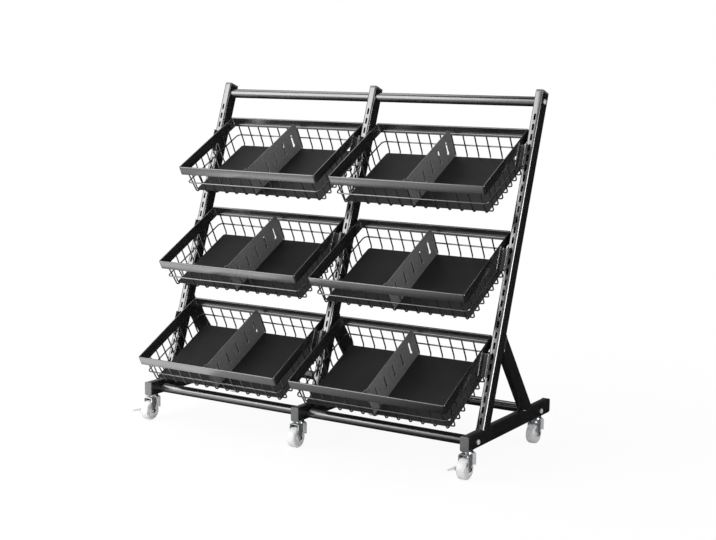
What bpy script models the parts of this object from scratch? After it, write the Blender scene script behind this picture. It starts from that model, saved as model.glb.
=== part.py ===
"""Rolling produce display rack: two bays of three tilted baskets hooked onto leaning slotted uprights.

Lengths are metres and +Z is up. The front of the rack faces -Y, and the floor is at z = 0.
The origin lies on the floor under the middle of the rack's bounding box.
"""
import math

import bmesh
import bpy
from mathutils import Matrix, Vector

# Side frames: a base rail, a leaning slotted upright and a rear brace, all of one rectangular tube
FRAME_NAMES = ("left", "middle", "right")
BAY_NAMES = ("left", "right")
BAY_PITCH = 0.650
TUBE_WIDTH = 0.030
TUBE_DEPTH = 0.050
TUBE_WALL = 0.0015
RAIL_LENGTH = 0.615
RAIL_CLEARANCE = 0.090
UPRIGHT_FOOT = 0.100
UPRIGHT_LEAN = math.radians(19.2)
BRACE_REAR_INSET = 0.140
BRACE_TILT = math.radians(37.4)

# Hook slots up the front face of each upright
SLOT_WIDTH = 0.0075
SLOT_HEIGHT = 0.023
SLOT_PITCH = 0.0353
SLOT_FOOT_MARGIN = 0.026
SLOT_HEAD_MARGIN = 0.072

# Tiers, counted in slots, with plain tube left over above the top tier
TIER_NAMES = ("low", "mid", "top")
SLOTS_PER_TIER = 10
LOWEST_HOOK = 0.240
HEADROOM = 0.195

# Round crossbars between the frames
BAR_DIAMETER = 0.034
BAR_WALL = 0.0015
TOP_BAR_DROP = 0.028
FRONT_BAR_INSET = 0.065
REAR_BAR_INSET = 0.067
LOW_BAR_RISE = 0.020

# Plastic plugs in the tube ends
CAP_PLUG = 0.016
UPRIGHT_CAP_HEIGHT = 0.008
RAIL_CAP_THICKNESS = 0.006
CAP_BEVEL = 0.002
RAIL_CAP_CORNER = 0.007

# Wire basket under a rim of folded channel that opens inwards
RIM_SIDE_GAP = 0.013
RIM_DEPTH = 0.3685
RIM_BEHIND_UPRIGHT = 0.048
RIM_HEIGHT = 0.032
RIM_FLANGE = 0.014
RIM_SHEET = 0.002
RIM_CORNER = 0.006
RIM_RISE = 0.0393
CAGE_INSET = 0.0085
CAGE_CORNER = 0.012
RING_DROP = 0.073
BASKET_DROP = 0.1205
FRONT_FLARE = math.radians(8.0)
BASKET_TILT = math.radians(28.1)
WIRE = 0.005
LONG_WIRES = 7
SIDE_WIRES = 5
WIRE_CORNER_GAP = 0.004

# Folded hook bracket on each side of a basket
BRACKET_SHEET = 0.002
BRACKET_TOP_DROP = 0.032
BRACKET_HEIGHT = 0.077
BRACKET_LEG = 0.026
BRACKET_BITE = 0.0013
HOOK_NECK = 0.010
HOOK_LIP = 0.008
HOOK_LIP_THICKNESS = 0.0025

# Mat and divider
MAT_THICKNESS = 0.003
MAT_EDGE_GAP = 0.005
DIVIDER_SHEET = 0.002
DIVIDER_EDGE_GAP = 0.0015
DIVIDER_TOP_DROP = 0.004
DIVIDER_CHAMFER = 0.012
DIVIDER_HOOK = 0.003
DIVIDER_HOOK_DROP = 0.004
DIVIDER_HOOK_ROOT = 0.010
DIVIDER_SLOT_COUNT = 5
DIVIDER_SLOT_PITCH = 0.060
DIVIDER_SLOT_LENGTH = 0.056
DIVIDER_SLOT_WIDTH = 0.004

# Swivel casters
CASTER_FRONT_INSET = 0.030
CASTER_REAR_INSET = 0.067
CASTER_TRAIL = 0.026
WHEEL_DIAMETER = 0.070
WHEEL_WIDTH = 0.032
WHEEL_SHOULDER = 0.004
WHEEL_CROWN = 0.003
WHEEL_DISH = 0.004
WHEEL_DISH_RADIUS = 0.024
WHEEL_SIDES = 20
AXLE_DIAMETER = 0.008
RUNNING_CLEARANCE = 0.0003
FORK_SHEET = 0.0025
FORK_SIDE_ROOM = 0.0022
FORK_CROWN = 0.006
FORK_FRONT_REACH = 0.036
FORK_FRONT_SKIRT = 0.012
FORK_REAR_REACH = 0.016
FORK_REAR_SKIRT = 0.037
FORK_BOSS_RADIUS = 0.010
STEM_DIAMETER = 0.010
STEM_LENGTH = 0.022
STEM_FLANGE_DIAMETER = 0.029
STEM_FLANGE = 0.004
KINGPIN_DIAMETER = 0.009
KINGPIN_HEAD_DIAMETER = 0.016
KINGPIN_HEAD = 0.003

# Brake pedals on the two outer front casters
BRAKED_CASTERS = ("front_left", "front_right")
PEDAL_WIDTH = 0.0055
PEDAL_BOSS_RADIUS = 0.0075
PEDAL_REACH = 0.074
PEDAL_RISE = 0.0065
PEDAL_TIP = 0.005

# Gap kept between pieces that touch
SEAT_GAP = 0.0003

# Facets of the round pieces, and the edge angle below which they are shaded smooth
PIN_SIDES = 12
BAR_SIDES = 16
CORNER_STEPS = 2
SMOOTH_ANGLE = math.radians(40)

# Sizes that follow from the ones above
FRAME_X = {name: (index - 1) * BAY_PITCH for index, name in enumerate(FRAME_NAMES)}
BAY_X = {name: (index - 0.5) * BAY_PITCH for index, name in enumerate(BAY_NAMES)}
RAIL_TOP = RAIL_CLEARANCE + TUBE_DEPTH
TIER_SPACING = SLOTS_PER_TIER * SLOT_PITCH
UPRIGHT_LENGTH = LOWEST_HOOK + (len(TIER_NAMES) - 1) * TIER_SPACING + HEADROOM
RIM_WIDTH = BAY_PITCH - TUBE_WIDTH - 2 * RIM_SIDE_GAP
WHEEL_RADIUS = WHEEL_DIAMETER / 2
FORK_INNER = WHEEL_WIDTH + 2 * FORK_SIDE_ROOM
FORK_OUTER = FORK_INNER + 2 * FORK_SHEET
FORK_TOP = RAIL_CLEARANCE - STEM_FLANGE - 2 * SEAT_GAP
AXLE_HEAD = PEDAL_WIDTH + 2 * SEAT_GAP
MAT_TOP_DROP = BASKET_DROP - WIRE - MAT_THICKNESS - SEAT_GAP

UP_UPRIGHT = Vector((0, math.sin(UPRIGHT_LEAN), math.cos(UPRIGHT_LEAN)))
BACK_UPRIGHT = Vector((0, math.cos(UPRIGHT_LEAN), -math.sin(UPRIGHT_LEAN)))
UPRIGHT_BASE = Vector((0, UPRIGHT_FOOT, RAIL_TOP))
X_AXIS = Vector((1, 0, 0))
Y_AXIS = Vector((0, 1, 0))
Z_AXIS = Vector((0, 0, 1))


def clear_scene():
    """Remove every object, so that the script starts from an empty scene."""
    for obj in list(bpy.data.objects):
        bpy.data.objects.remove(obj, do_unlink=True)


def make_material(name, colour, roughness, metallic):
    """Principled material with one colour."""
    material = bpy.data.materials.new(name)
    material.use_nodes = True
    shader = material.node_tree.nodes["Principled BSDF"]
    shader.inputs["Base Color"].default_value = (*colour, 1.0)
    shader.inputs["Roughness"].default_value = roughness
    shader.inputs["Metallic"].default_value = metallic
    return material


def mesh_from_bmesh(bm, name, smooth_angle=None):
    """Turn a bmesh into a mesh with outward faces, shaded smooth below the given edge angle."""
    bmesh.ops.recalc_face_normals(bm, faces=bm.faces)
    mesh = bpy.data.meshes.new(name)
    bm.to_mesh(mesh)
    bm.free()
    if smooth_angle is not None:
        mesh.shade_smooth()
        mesh.set_sharp_from_angle(angle=smooth_angle)
    return mesh


def mesh_from_loops(loops, name, smooth_angle=None):
    """Skin a row of point loops into a tube and close both ends."""
    bm = bmesh.new()
    rings = [[bm.verts.new(point) for point in loop] for loop in loops]
    count = len(rings[0])
    for lower, upper in zip(rings, rings[1:]):
        for i in range(count):
            j = (i + 1) % count
            bm.faces.new((lower[i], lower[j], upper[j], upper[i]))
    bm.faces.new(rings[0])
    bm.faces.new(rings[-1])
    return mesh_from_bmesh(bm, name, smooth_angle)


def mesh_from_closed_loops(loops, name, smooth_angle=None):
    """Skin a ring of point loops, the last one joined to the first, as for a pipe or a turned ring."""
    bm = bmesh.new()
    rings = [[bm.verts.new(point) for point in loop] for loop in loops]
    count = len(rings[0])
    for lower, upper in zip(rings, rings[1:] + rings[:1]):
        for i in range(count):
            j = (i + 1) % count
            bm.faces.new((lower[i], lower[j], upper[j], upper[i]))
    return mesh_from_bmesh(bm, name, smooth_angle)


def circle_loop(centre, radius, sides, first, second):
    """Points round a circle spanned by two unit vectors, with a flat side square to the second one."""
    points = []
    for i in range(sides):
        angle = 2 * math.pi * (i + 0.5) / sides
        points.append(centre + radius * (math.cos(angle) * first + math.sin(angle) * second))
    return points


def extruded_outline(outline, half_width, name):
    """Plate with its outline given in (y, z), centred on x = 0."""
    loops = [[Vector((x, y, z)) for y, z in outline] for x in (-half_width, half_width)]
    return mesh_from_loops(loops, name)


def box_mesh(low, high, name):
    """Box between two corners."""
    corners = [(low[0], low[1]), (high[0], low[1]), (high[0], high[1]), (low[0], high[1])]
    loops = [[Vector((x, y, z)) for x, y in corners] for z in (low[2], high[2])]
    return mesh_from_loops(loops, name)


def joined_mesh(meshes, name):
    """Put several closed meshes into one, side by side."""
    bm = bmesh.new()
    for mesh in meshes:
        bm.from_mesh(mesh)
        bpy.data.meshes.remove(mesh)
    return mesh_from_bmesh(bm, name)


def combine(base, tool, operation, smooth_angle=None):
    """Cut a tool mesh from a base mesh, or fuse the two, and return the resulting mesh."""
    base_obj = bpy.data.objects.new("base", base)
    tool_obj = bpy.data.objects.new("tool", tool)
    for obj in (base_obj, tool_obj):
        bpy.context.scene.collection.objects.link(obj)
    modifier = base_obj.modifiers.new(operation, "BOOLEAN")
    modifier.operation = operation
    modifier.object = tool_obj
    modifier.solver = "EXACT"
    depsgraph = bpy.context.evaluated_depsgraph_get()
    result = bpy.data.meshes.new_from_object(base_obj.evaluated_get(depsgraph))
    for obj, mesh in ((base_obj, base), (tool_obj, tool)):
        bpy.data.objects.remove(obj, do_unlink=True)
        bpy.data.meshes.remove(mesh)
    bm = bmesh.new()
    bm.from_mesh(result)
    bpy.data.meshes.remove(result)
    return mesh_from_bmesh(bm, "combined", smooth_angle)


def rectangle(half_x, near, far):
    """Corners of a tube section as (x, depth), in order round it."""
    return ((-half_x, near), (half_x, near), (half_x, far), (-half_x, far))


def cut_tube(point, along, back, start_plane, end_plane, name):
    """Rectangular tube open at both ends, cut off by two planes given as (point, normal).

    Its front face runs along the line through the point, and its depth goes backwards from there.
    """
    def ends(section, plane):
        where, normal = plane
        points = []
        for x, depth in section:
            start = point + x * X_AXIS + depth * back
            points.append(start + along * ((where - start).dot(normal) / along.dot(normal)))
        return points

    half = TUBE_WIDTH / 2
    outer = rectangle(half, 0, TUBE_DEPTH)
    inner = rectangle(half - TUBE_WALL, TUBE_WALL, TUBE_DEPTH - TUBE_WALL)
    loops = [ends(outer, start_plane), ends(outer, end_plane)]
    loops += [ends(inner, end_plane), ends(inner, start_plane)]
    return mesh_from_closed_loops(loops, name)


def upright_point(height, outward=0.0, x=0.0):
    """Point at a height along the upright's front face, moved out in front of it."""
    return UPRIGHT_BASE + height * UP_UPRIGHT - outward * BACK_UPRIGHT + x * X_AXIS


def slot_heights():
    """Heights of the slot centres along the upright, in step with the tiers' hooks."""
    below = int((LOWEST_HOOK - SLOT_FOOT_MARGIN) / SLOT_PITCH)
    tiers = (len(TIER_NAMES) - 1) * SLOTS_PER_TIER
    above = int((HEADROOM - SLOT_HEAD_MARGIN) / SLOT_PITCH)
    return [LOWEST_HOOK + step * SLOT_PITCH for step in range(-below, tiers + above + 1)]


def upright_mesh():
    """Leaning tube with its slots, cut level at the foot and square at the top."""
    foot = (UPRIGHT_BASE + SEAT_GAP * Z_AXIS, Z_AXIS)
    top = (upright_point(UPRIGHT_LENGTH), UP_UPRIGHT)
    tube = cut_tube(UPRIGHT_BASE, UP_UPRIGHT, BACK_UPRIGHT, foot, top, "upright")
    cutters = []
    for height in slot_heights():
        loops = []
        for end in (-SLOT_HEIGHT / 2, SLOT_HEIGHT / 2):
            section = rectangle(SLOT_WIDTH / 2, -TUBE_WALL, 2 * TUBE_WALL)
            loops.append([upright_point(height + end, -depth, x) for x, depth in section])
        cutters.append(mesh_from_loops(loops, "slot"))
    return combine(tube, joined_mesh(cutters, "slots"), "DIFFERENCE")


def rail_mesh():
    """Base rail, with a hole through its lower wall for each caster stem."""
    start = Vector((0, 0, RAIL_CLEARANCE))
    ends = ((start, Y_AXIS), (start + RAIL_LENGTH * Y_AXIS, Y_AXIS))
    tube = cut_tube(start, Y_AXIS, Z_AXIS, *ends, "rail")
    holes = []
    for y in caster_stations().values():
        radius = STEM_DIAMETER / 2 + RUNNING_CLEARANCE
        heights = (RAIL_CLEARANCE - TUBE_WALL, RAIL_CLEARANCE + 2 * TUBE_WALL)
        loops = [circle_loop(Vector((0, y, z)), radius, PIN_SIDES, X_AXIS, Y_AXIS) for z in heights]
        holes.append(mesh_from_loops(loops, "hole"))
    return combine(tube, joined_mesh(holes, "holes"), "DIFFERENCE")


def brace_mesh():
    """Brace from the back of the upright down to the top of the rail."""
    along = Vector((0, -math.sin(BRACE_TILT), math.cos(BRACE_TILT)))
    forward = Vector((0, -math.cos(BRACE_TILT), -math.sin(BRACE_TILT)))
    foot = Vector((0, RAIL_LENGTH - BRACE_REAR_INSET, RAIL_TOP))
    start = (foot + SEAT_GAP * Z_AXIS, Z_AXIS)
    end = (UPRIGHT_BASE + (TUBE_DEPTH + SEAT_GAP) * BACK_UPRIGHT, BACK_UPRIGHT)
    return cut_tube(foot, along, forward, start, end, "brace")


def bar_mesh():
    """Round crossbar that fills the width between two frames, centred on the origin."""
    half = BAY_PITCH / 2 - TUBE_WIDTH / 2 - SEAT_GAP
    radii = (BAR_DIAMETER / 2, BAR_DIAMETER / 2, BAR_DIAMETER / 2 - BAR_WALL, BAR_DIAMETER / 2 - BAR_WALL)
    places = (-half, half, half, -half)
    loops = [circle_loop(x * X_AXIS, r, BAR_SIDES, Y_AXIS, Z_AXIS) for x, r in zip(places, radii)]
    return mesh_from_closed_loops(loops, "bar", SMOOTH_ANGLE)


def bar_places():
    """Axis point of each crossbar in the plane of a frame."""
    low = RAIL_CLEARANCE + LOW_BAR_RISE
    top = upright_point(UPRIGHT_LENGTH - TOP_BAR_DROP, -TUBE_DEPTH / 2)
    front = Vector((0, FRONT_BAR_INSET, low))
    rear = Vector((0, RAIL_LENGTH - REAR_BAR_INSET, low))
    return {"top_bar": top, "front_bar": front, "rear_bar": rear}


def rounded_rectangle(half_x, half_y, radius):
    """Points round a rectangle with round corners, counter-clockwise."""
    points = []
    for turn, (sx, sy) in enumerate(((1, 1), (-1, 1), (-1, -1), (1, -1))):
        centre = Vector((sx * (half_x - radius), sy * (half_y - radius)))
        for step in range(CORNER_STEPS + 1):
            angle = math.pi / 2 * (turn + step / CORNER_STEPS)
            points.append(centre + radius * Vector((math.cos(angle), math.sin(angle))))
    return points


def cap_mesh(height, corner, name):
    """Plug that closes a tube end: a flange as big as the tube, on a stub that fits inside it.

    It points along +Z, with the tube's end face at z = 0.
    """
    stub_x = TUBE_WIDTH / 2 - TUBE_WALL - SEAT_GAP
    stub_y = TUBE_DEPTH / 2 - TUBE_WALL - SEAT_GAP
    stub_corner = min(corner, stub_x, stub_y) * stub_x / (TUBE_WIDTH / 2)
    outer_x = TUBE_WIDTH / 2
    outer_y = TUBE_DEPTH / 2
    levels = (
        (stub_x, stub_y, stub_corner, -CAP_PLUG),
        (stub_x, stub_y, stub_corner, SEAT_GAP),
        (outer_x, outer_y, corner, SEAT_GAP),
        (outer_x, outer_y, corner, height - CAP_BEVEL),
        (outer_x - CAP_BEVEL, outer_y - CAP_BEVEL, max(corner - CAP_BEVEL, CAP_BEVEL / 2), height),
    )
    loops = []
    for half_x, half_y, radius, z in levels:
        loops.append([Vector((p.x, p.y, z)) for p in rounded_rectangle(half_x, half_y, radius)])
    return mesh_from_loops(loops, name, SMOOTH_ANGLE)


BASKET_MIDDLE = RIM_BEHIND_UPRIGHT - RIM_DEPTH / 2


def cage_walls(drop):
    """Half width, front and rear of the cage's outer skin at a drop below the rim, from the rim's middle."""
    half_depth = RIM_DEPTH / 2 - CAGE_INSET
    lean = (drop - RIM_HEIGHT) * math.tan(FRONT_FLARE)
    return RIM_WIDTH / 2 - CAGE_INSET, lean - half_depth, half_depth


def wire_places(low, high, count):
    """Wire centres spread evenly between two corners of the cage, clear of their bends."""
    margin = CAGE_CORNER + WIRE_CORNER_GAP
    step = (high - low - 2 * margin) / (count - 1)
    return [low + margin + step * i for i in range(count)]


def basket_stations():
    """Stations round the cage: each gives its point at a drop and inset, and marks where a wire begins."""
    base_x, base_front, base_rear = cage_walls(BASKET_DROP)
    across = wire_places(-base_x, base_x, LONG_WIRES)
    back = wire_places(base_front, base_rear, SIDE_WIRES)
    forth = [-y for y in reversed(back)]
    walls = (
        (across, lambda u, half_x, front, rear: (u, front)),
        (back, lambda u, half_x, front, rear: (half_x, u)),
        (across, lambda u, half_x, front, rear: (-u, rear)),
        (forth, lambda u, half_x, front, rear: (-half_x, -u)),
    )
    corner_signs = ((1, -1), (1, 1), (-1, 1), (-1, -1))
    stations = []
    for wall, (places, rule) in enumerate(walls):
        for number, centre in enumerate(places):
            for side, mark in ((-WIRE / 2, True), (WIRE / 2, False)):
                def edge(drop, inset, rule=rule, along=centre + side):
                    half_x, front, rear = cage_walls(drop)
                    return rule(along, half_x - inset, front + inset, rear - inset)
                stations.append((edge, mark, (wall, number)))
        sx, sy = corner_signs[wall]
        for step in range(CORNER_STEPS + 1):
            angle = math.pi / 2 * (wall - 1 + step / CORNER_STEPS)
            def bend(drop, inset, sx=sx, sy=sy, angle=angle):
                half_x, front, rear = cage_walls(drop)
                centre_y = front + CAGE_CORNER if sy < 0 else rear - CAGE_CORNER
                x = sx * (half_x - CAGE_CORNER) + (CAGE_CORNER - inset) * math.cos(angle)
                return x, centre_y + (CAGE_CORNER - inset) * math.sin(angle)
            stations.append((bend, False, None))
    return stations


def basket_cage():
    """Ring wire and upright wires as one lattice, with floor wires from front to rear.

    Built in the basket's own frame: the rim's top edge is z = 0 and the upright's front face crosses y = 0.
    The upright wires end inside the sheet of the rim's lower flange.
    """
    top = RIM_HEIGHT - RIM_SHEET / 2
    drops = (top, RING_DROP - WIRE / 2, RING_DROP + WIRE / 2, BASKET_DROP - WIRE, BASKET_DROP)
    stations = basket_stations()
    bm = bmesh.new()
    skins = []
    for inset in (0, WIRE):
        columns = []
        for place, _mark, _wire in stations:
            columns.append([bm.verts.new((*place(drop, inset), -drop)) for drop in drops])
        skins.append(columns)
    outer, inner = skins
    count = len(stations)
    floor_ends = {}
    for i, (_place, is_wire, wire) in enumerate(stations):
        j = (i + 1) % count
        for skin in (outer, inner):
            bm.faces.new((skin[i][1], skin[i][2], skin[j][2], skin[j][1]))
        if not is_wire:
            for level in (1, 2):
                bm.faces.new((outer[i][level], inner[i][level], inner[j][level], outer[j][level]))
            continue
        for skin in (outer, inner):
            bm.faces.new((skin[i][0], skin[i][1], skin[j][1], skin[j][0]))
            bm.faces.new((skin[i][2], skin[i][3], skin[j][3], skin[j][2]))
        bm.faces.new((outer[i][3], outer[i][4], outer[j][4], outer[j][3]))
        for level in (0, 4):
            bm.faces.new((outer[i][level], inner[i][level], inner[j][level], outer[j][level]))
        for k in (i, j):
            for upper, lower in ((0, 1), (2, 3), (3, 4)):
                bm.faces.new((outer[k][upper], outer[k][lower], inner[k][lower], inner[k][upper]))
        wall, number = wire
        ends = [inner[i][3], inner[j][3], inner[j][4], inner[i][4]]
        if wall == 0:
            floor_ends[number] = ends
        elif wall == 2:
            front = floor_ends[LONG_WIRES - 1 - number]
            rear = [ends[1], ends[0], ends[3], ends[2]]
            for k in range(4):
                m = (k + 1) % 4
                bm.faces.new((front[k], front[m], rear[m], rear[k]))
        else:
            bm.faces.new(ends)
    spare = [vert for vert in bm.verts if not vert.link_faces]
    bmesh.ops.delete(bm, geom=spare, context="VERTS")
    for vert in bm.verts:
        vert.co.y += BASKET_MIDDLE
    return mesh_from_bmesh(bm, "cage")


def rim_mesh():
    """Rim of folded channel, with a flange turned in at the top and another at the bottom."""
    flange_low = RIM_HEIGHT - RIM_SHEET
    profile = (
        (0, 0),
        (RIM_FLANGE, 0),
        (RIM_FLANGE, RIM_SHEET),
        (RIM_SHEET, RIM_SHEET),
        (RIM_SHEET, flange_low),
        (RIM_FLANGE, flange_low),
        (RIM_FLANGE, RIM_HEIGHT),
        (0, RIM_HEIGHT),
    )
    loops = []
    for inset, drop in profile:
        corner = max(RIM_CORNER - inset, RIM_SHEET / 2)
        outline = rounded_rectangle(RIM_WIDTH / 2 - inset, RIM_DEPTH / 2 - inset, corner)
        loops.append([Vector((p.x, p.y + BASKET_MIDDLE, -drop)) for p in outline])
    return mesh_from_closed_loops(loops, "rim")


def bracket_mesh(side):
    """Folded bracket: a leg along the basket's side, a face over the upright and hooks into its slots."""
    half_bay = BAY_PITCH / 2
    leg_in = RIM_WIDTH / 2 - BRACKET_BITE
    leg_out = leg_in + BRACKET_SHEET
    hook_out = half_bay - (SLOT_WIDTH / 2 - SEAT_GAP) + BRACKET_SHEET
    hook_in = hook_out - BRACKET_SHEET
    tilt = Matrix.Rotation(-BASKET_TILT, 4, "X")

    def prism(section, low, high):
        loops = []
        for height in (low, high):
            points = []
            for x, outward in section:
                world = height * UP_UPRIGHT - outward * BACK_UPRIGHT
                points.append(tilt @ world + side * x * X_AXIS)
            loops.append(points)
        return mesh_from_loops(loops, "bracket")

    near = SEAT_GAP
    far = SEAT_GAP + BRACKET_SHEET
    top = -BRACKET_TOP_DROP
    bottom = top - BRACKET_HEIGHT
    face = ((leg_in, near), (hook_out, near), (hook_out, far), (leg_out, far), (leg_out, BRACKET_LEG))
    mesh = prism(face + ((leg_in, BRACKET_LEG),), bottom, top)
    behind = -TUBE_WALL - SEAT_GAP - HOOK_LIP_THICKNESS
    for slot in (0, 1):
        seat = -RIM_RISE - slot * SLOT_PITCH - SLOT_HEIGHT / 2 + SEAT_GAP
        neck = ((hook_in, behind), (hook_out, behind), (hook_out, far - SEAT_GAP), (hook_in, far - SEAT_GAP))
        mesh = combine(mesh, prism(neck, seat, seat + HOOK_NECK), "UNION")
        lip_front = behind + HOOK_LIP_THICKNESS
        lip = ((hook_in, behind), (hook_out, behind), (hook_out, lip_front), (hook_in, lip_front))
        mesh = combine(mesh, prism(lip, seat - HOOK_LIP, seat + HOOK_NECK / 2), "UNION")
    return mesh


def basket_mesh():
    """Whole welded basket: the cage under its rim, with a hook bracket on each side."""
    mesh = combine(rim_mesh(), basket_cage(), "UNION")
    for side in (-1, 1):
        mesh = combine(mesh, bracket_mesh(side), "UNION")
    return mesh


def mat_middle():
    """Middle of the mat from front to rear, measured from the rim's middle."""
    _half_x, front, rear = cage_walls(BASKET_DROP - WIRE)
    return (front + rear) / 2


def mat_mesh():
    """Flat mat on the floor wires, in the basket's frame."""
    half_x, _front, rear = cage_walls(BASKET_DROP - WIRE)
    inset = WIRE + MAT_EDGE_GAP
    half_y = rear - mat_middle() - inset
    outline = rounded_rectangle(half_x - inset, half_y, CAGE_CORNER - WIRE)
    bottom = -BASKET_DROP + WIRE + SEAT_GAP
    loops = []
    for z in (bottom, bottom + MAT_THICKNESS):
        loops.append([Vector((p.x, p.y + BASKET_MIDDLE + mat_middle(), z)) for p in outline])
    return mesh_from_loops(loops, "mat")


def divider_mesh():
    """Slotted sheet divider on the mat, hooked over the front of the rim, in the basket's frame."""
    floor = -MAT_TOP_DROP + SEAT_GAP
    top = -DIVIDER_TOP_DROP
    front_foot = cage_walls(MAT_TOP_DROP)[1] + WIRE + DIVIDER_EDGE_GAP
    neck = RIM_DEPTH / 2 - RIM_FLANGE - DIVIDER_EDGE_GAP
    hook_in = RIM_DEPTH / 2 + DIVIDER_EDGE_GAP
    hook_out = hook_in + DIVIDER_HOOK
    hook_top = SEAT_GAP + DIVIDER_HOOK
    outline = (
        (neck, floor),
        (neck, top - DIVIDER_CHAMFER),
        (neck - DIVIDER_CHAMFER, top),
        (DIVIDER_HOOK_ROOT - neck, top),
        (-neck, hook_top),
        (-hook_out, hook_top),
        (-hook_out, -DIVIDER_HOOK_DROP),
        (-hook_in, -DIVIDER_HOOK_DROP),
        (-hook_in, SEAT_GAP),
        (-neck, SEAT_GAP),
        (-neck, -RIM_HEIGHT),
        (front_foot, floor),
    )
    plate = extruded_outline(outline, DIVIDER_SHEET / 2, "divider")
    middle = floor / 2
    cutters = []
    for number in range(DIVIDER_SLOT_COUNT):
        y = mat_middle() + (number - (DIVIDER_SLOT_COUNT - 1) / 2) * DIVIDER_SLOT_PITCH
        low = (-DIVIDER_SHEET, y - DIVIDER_SLOT_WIDTH / 2, middle - DIVIDER_SLOT_LENGTH / 2)
        high = (DIVIDER_SHEET, y + DIVIDER_SLOT_WIDTH / 2, middle + DIVIDER_SLOT_LENGTH / 2)
        cutters.append(box_mesh(low, high, "slot"))
    mesh = combine(plate, joined_mesh(cutters, "slots"), "DIFFERENCE")
    mesh.transform(Matrix.Translation((0, BASKET_MIDDLE, 0)))
    return mesh


def caster_stations():
    """Stem positions along a rail."""
    return {"front": CASTER_FRONT_INSET, "rear": RAIL_LENGTH - CASTER_REAR_INSET}


def turned_mesh(profile, name):
    """Piece turned about Z from (radius, height) points, closed at both ends."""
    loops = [circle_loop(height * Z_AXIS, radius, PIN_SIDES, X_AXIS, Y_AXIS) for radius, height in profile]
    return mesh_from_loops(loops, name, SMOOTH_ANGLE)


def stem_mesh():
    """Caster stem: a stud into the rail, a flange under it and a kingpin that holds the fork.

    Its frame has the rail's underside at z = 0.
    """
    flange_low = -SEAT_GAP - STEM_FLANGE
    head_top = flange_low - FORK_CROWN - 2 * SEAT_GAP
    profile = (
        (STEM_DIAMETER / 2, STEM_LENGTH),
        (STEM_DIAMETER / 2, -SEAT_GAP),
        (STEM_FLANGE_DIAMETER / 2, -SEAT_GAP),
        (STEM_FLANGE_DIAMETER / 2, flange_low),
        (KINGPIN_DIAMETER / 2, flange_low),
        (KINGPIN_DIAMETER / 2, head_top),
        (KINGPIN_HEAD_DIAMETER / 2, head_top),
        (KINGPIN_HEAD_DIAMETER / 2, head_top - KINGPIN_HEAD),
    )
    return turned_mesh(profile, "stem")


def arc(centre, radius, start, end, steps):
    """Points of an arc in (y, z), angles in degrees from +Y."""
    points = []
    for step in range(steps + 1):
        angle = math.radians(start + (end - start) * step / steps)
        points.append((centre[0] + radius * math.cos(angle), centre[1] + radius * math.sin(angle)))
    return points


def fork_mesh():
    """Caster fork with its riveted axle, in a frame with the kingpin on z and the floor at z = 0."""
    axle = (-CASTER_TRAIL, WHEEL_RADIUS)
    outline = [(-FORK_FRONT_REACH, FORK_TOP), (-FORK_FRONT_REACH, FORK_TOP - FORK_FRONT_SKIRT)]
    outline += arc(axle, FORK_BOSS_RADIUS, 150, 390, 6)
    outline += [(FORK_REAR_REACH, FORK_TOP - FORK_REAR_SKIRT), (FORK_REAR_REACH, FORK_TOP)]
    block = extruded_outline(outline, FORK_OUTER / 2, "fork")
    reach = CASTER_TRAIL + FORK_FRONT_REACH + FORK_REAR_REACH + FORK_BOSS_RADIUS
    pocket = box_mesh((-FORK_INNER / 2, -reach, 0), (FORK_INNER / 2, reach, FORK_TOP - FORK_CROWN), "pocket")
    mesh = combine(block, pocket, "DIFFERENCE")
    radius = KINGPIN_DIAMETER / 2 + RUNNING_CLEARANCE
    heights = (FORK_TOP - 2 * FORK_CROWN, FORK_TOP + FORK_CROWN)
    loops = [circle_loop(z * Z_AXIS, radius, PIN_SIDES, X_AXIS, Y_AXIS) for z in heights]
    mesh = combine(mesh, mesh_from_loops(loops, "hole"), "DIFFERENCE")
    half = FORK_OUTER / 2 + AXLE_HEAD
    centre = Vector((0, *axle))
    ends = []
    for x in (-half, half):
        ends.append(circle_loop(centre + x * X_AXIS, AXLE_DIAMETER / 2, PIN_SIDES, Y_AXIS, Z_AXIS))
    return combine(mesh, mesh_from_loops(ends, "axle"), "UNION", SMOOTH_ANGLE)


def wheel_mesh():
    """Wheel with a crowned tread and dished sides, centred on its axle, with a flat facet below."""
    across_corners = 1 / math.cos(math.pi / WHEEL_SIDES)
    bore = (AXLE_DIAMETER / 2 + RUNNING_CLEARANCE) * across_corners
    half = WHEEL_WIDTH / 2
    side = (
        (bore, half - WHEEL_DISH / 2),
        (WHEEL_DISH_RADIUS, half - WHEEL_DISH),
        (WHEEL_RADIUS - WHEEL_CROWN, half),
        (WHEEL_RADIUS * across_corners, half - WHEEL_SHOULDER),
    )
    profile = side + tuple((radius, -x) for radius, x in reversed(side))
    loops = []
    for radius, x in profile:
        loops.append(circle_loop(x * X_AXIS, radius, WHEEL_SIDES, Y_AXIS, Z_AXIS))
    return mesh_from_closed_loops(loops, "wheel", SMOOTH_ANGLE)


def pedal_mesh():
    """Brake pedal: a tapered lever on the axle's left end, outside the fork, centred on the axle."""
    inner = -FORK_OUTER / 2 - SEAT_GAP
    outline = arc((0, 0), PEDAL_BOSS_RADIUS, 90, -90, 6)
    outline += [(-PEDAL_REACH, PEDAL_RISE), (-PEDAL_REACH, PEDAL_RISE + PEDAL_TIP)]
    sides = [[Vector((x, y, z)) for y, z in outline] for x in (inner - PEDAL_WIDTH, inner)]
    mesh = mesh_from_loops(sides, "pedal")
    bore = AXLE_DIAMETER / 2 + RUNNING_CLEARANCE
    ends = (inner - 2 * PEDAL_WIDTH, inner + PEDAL_WIDTH)
    hole = [circle_loop(x * X_AXIS, bore, PIN_SIDES, Y_AXIS, Z_AXIS) for x in ends]
    return combine(mesh, mesh_from_loops(hole, "hole"), "DIFFERENCE", SMOOTH_ANGLE)


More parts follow.
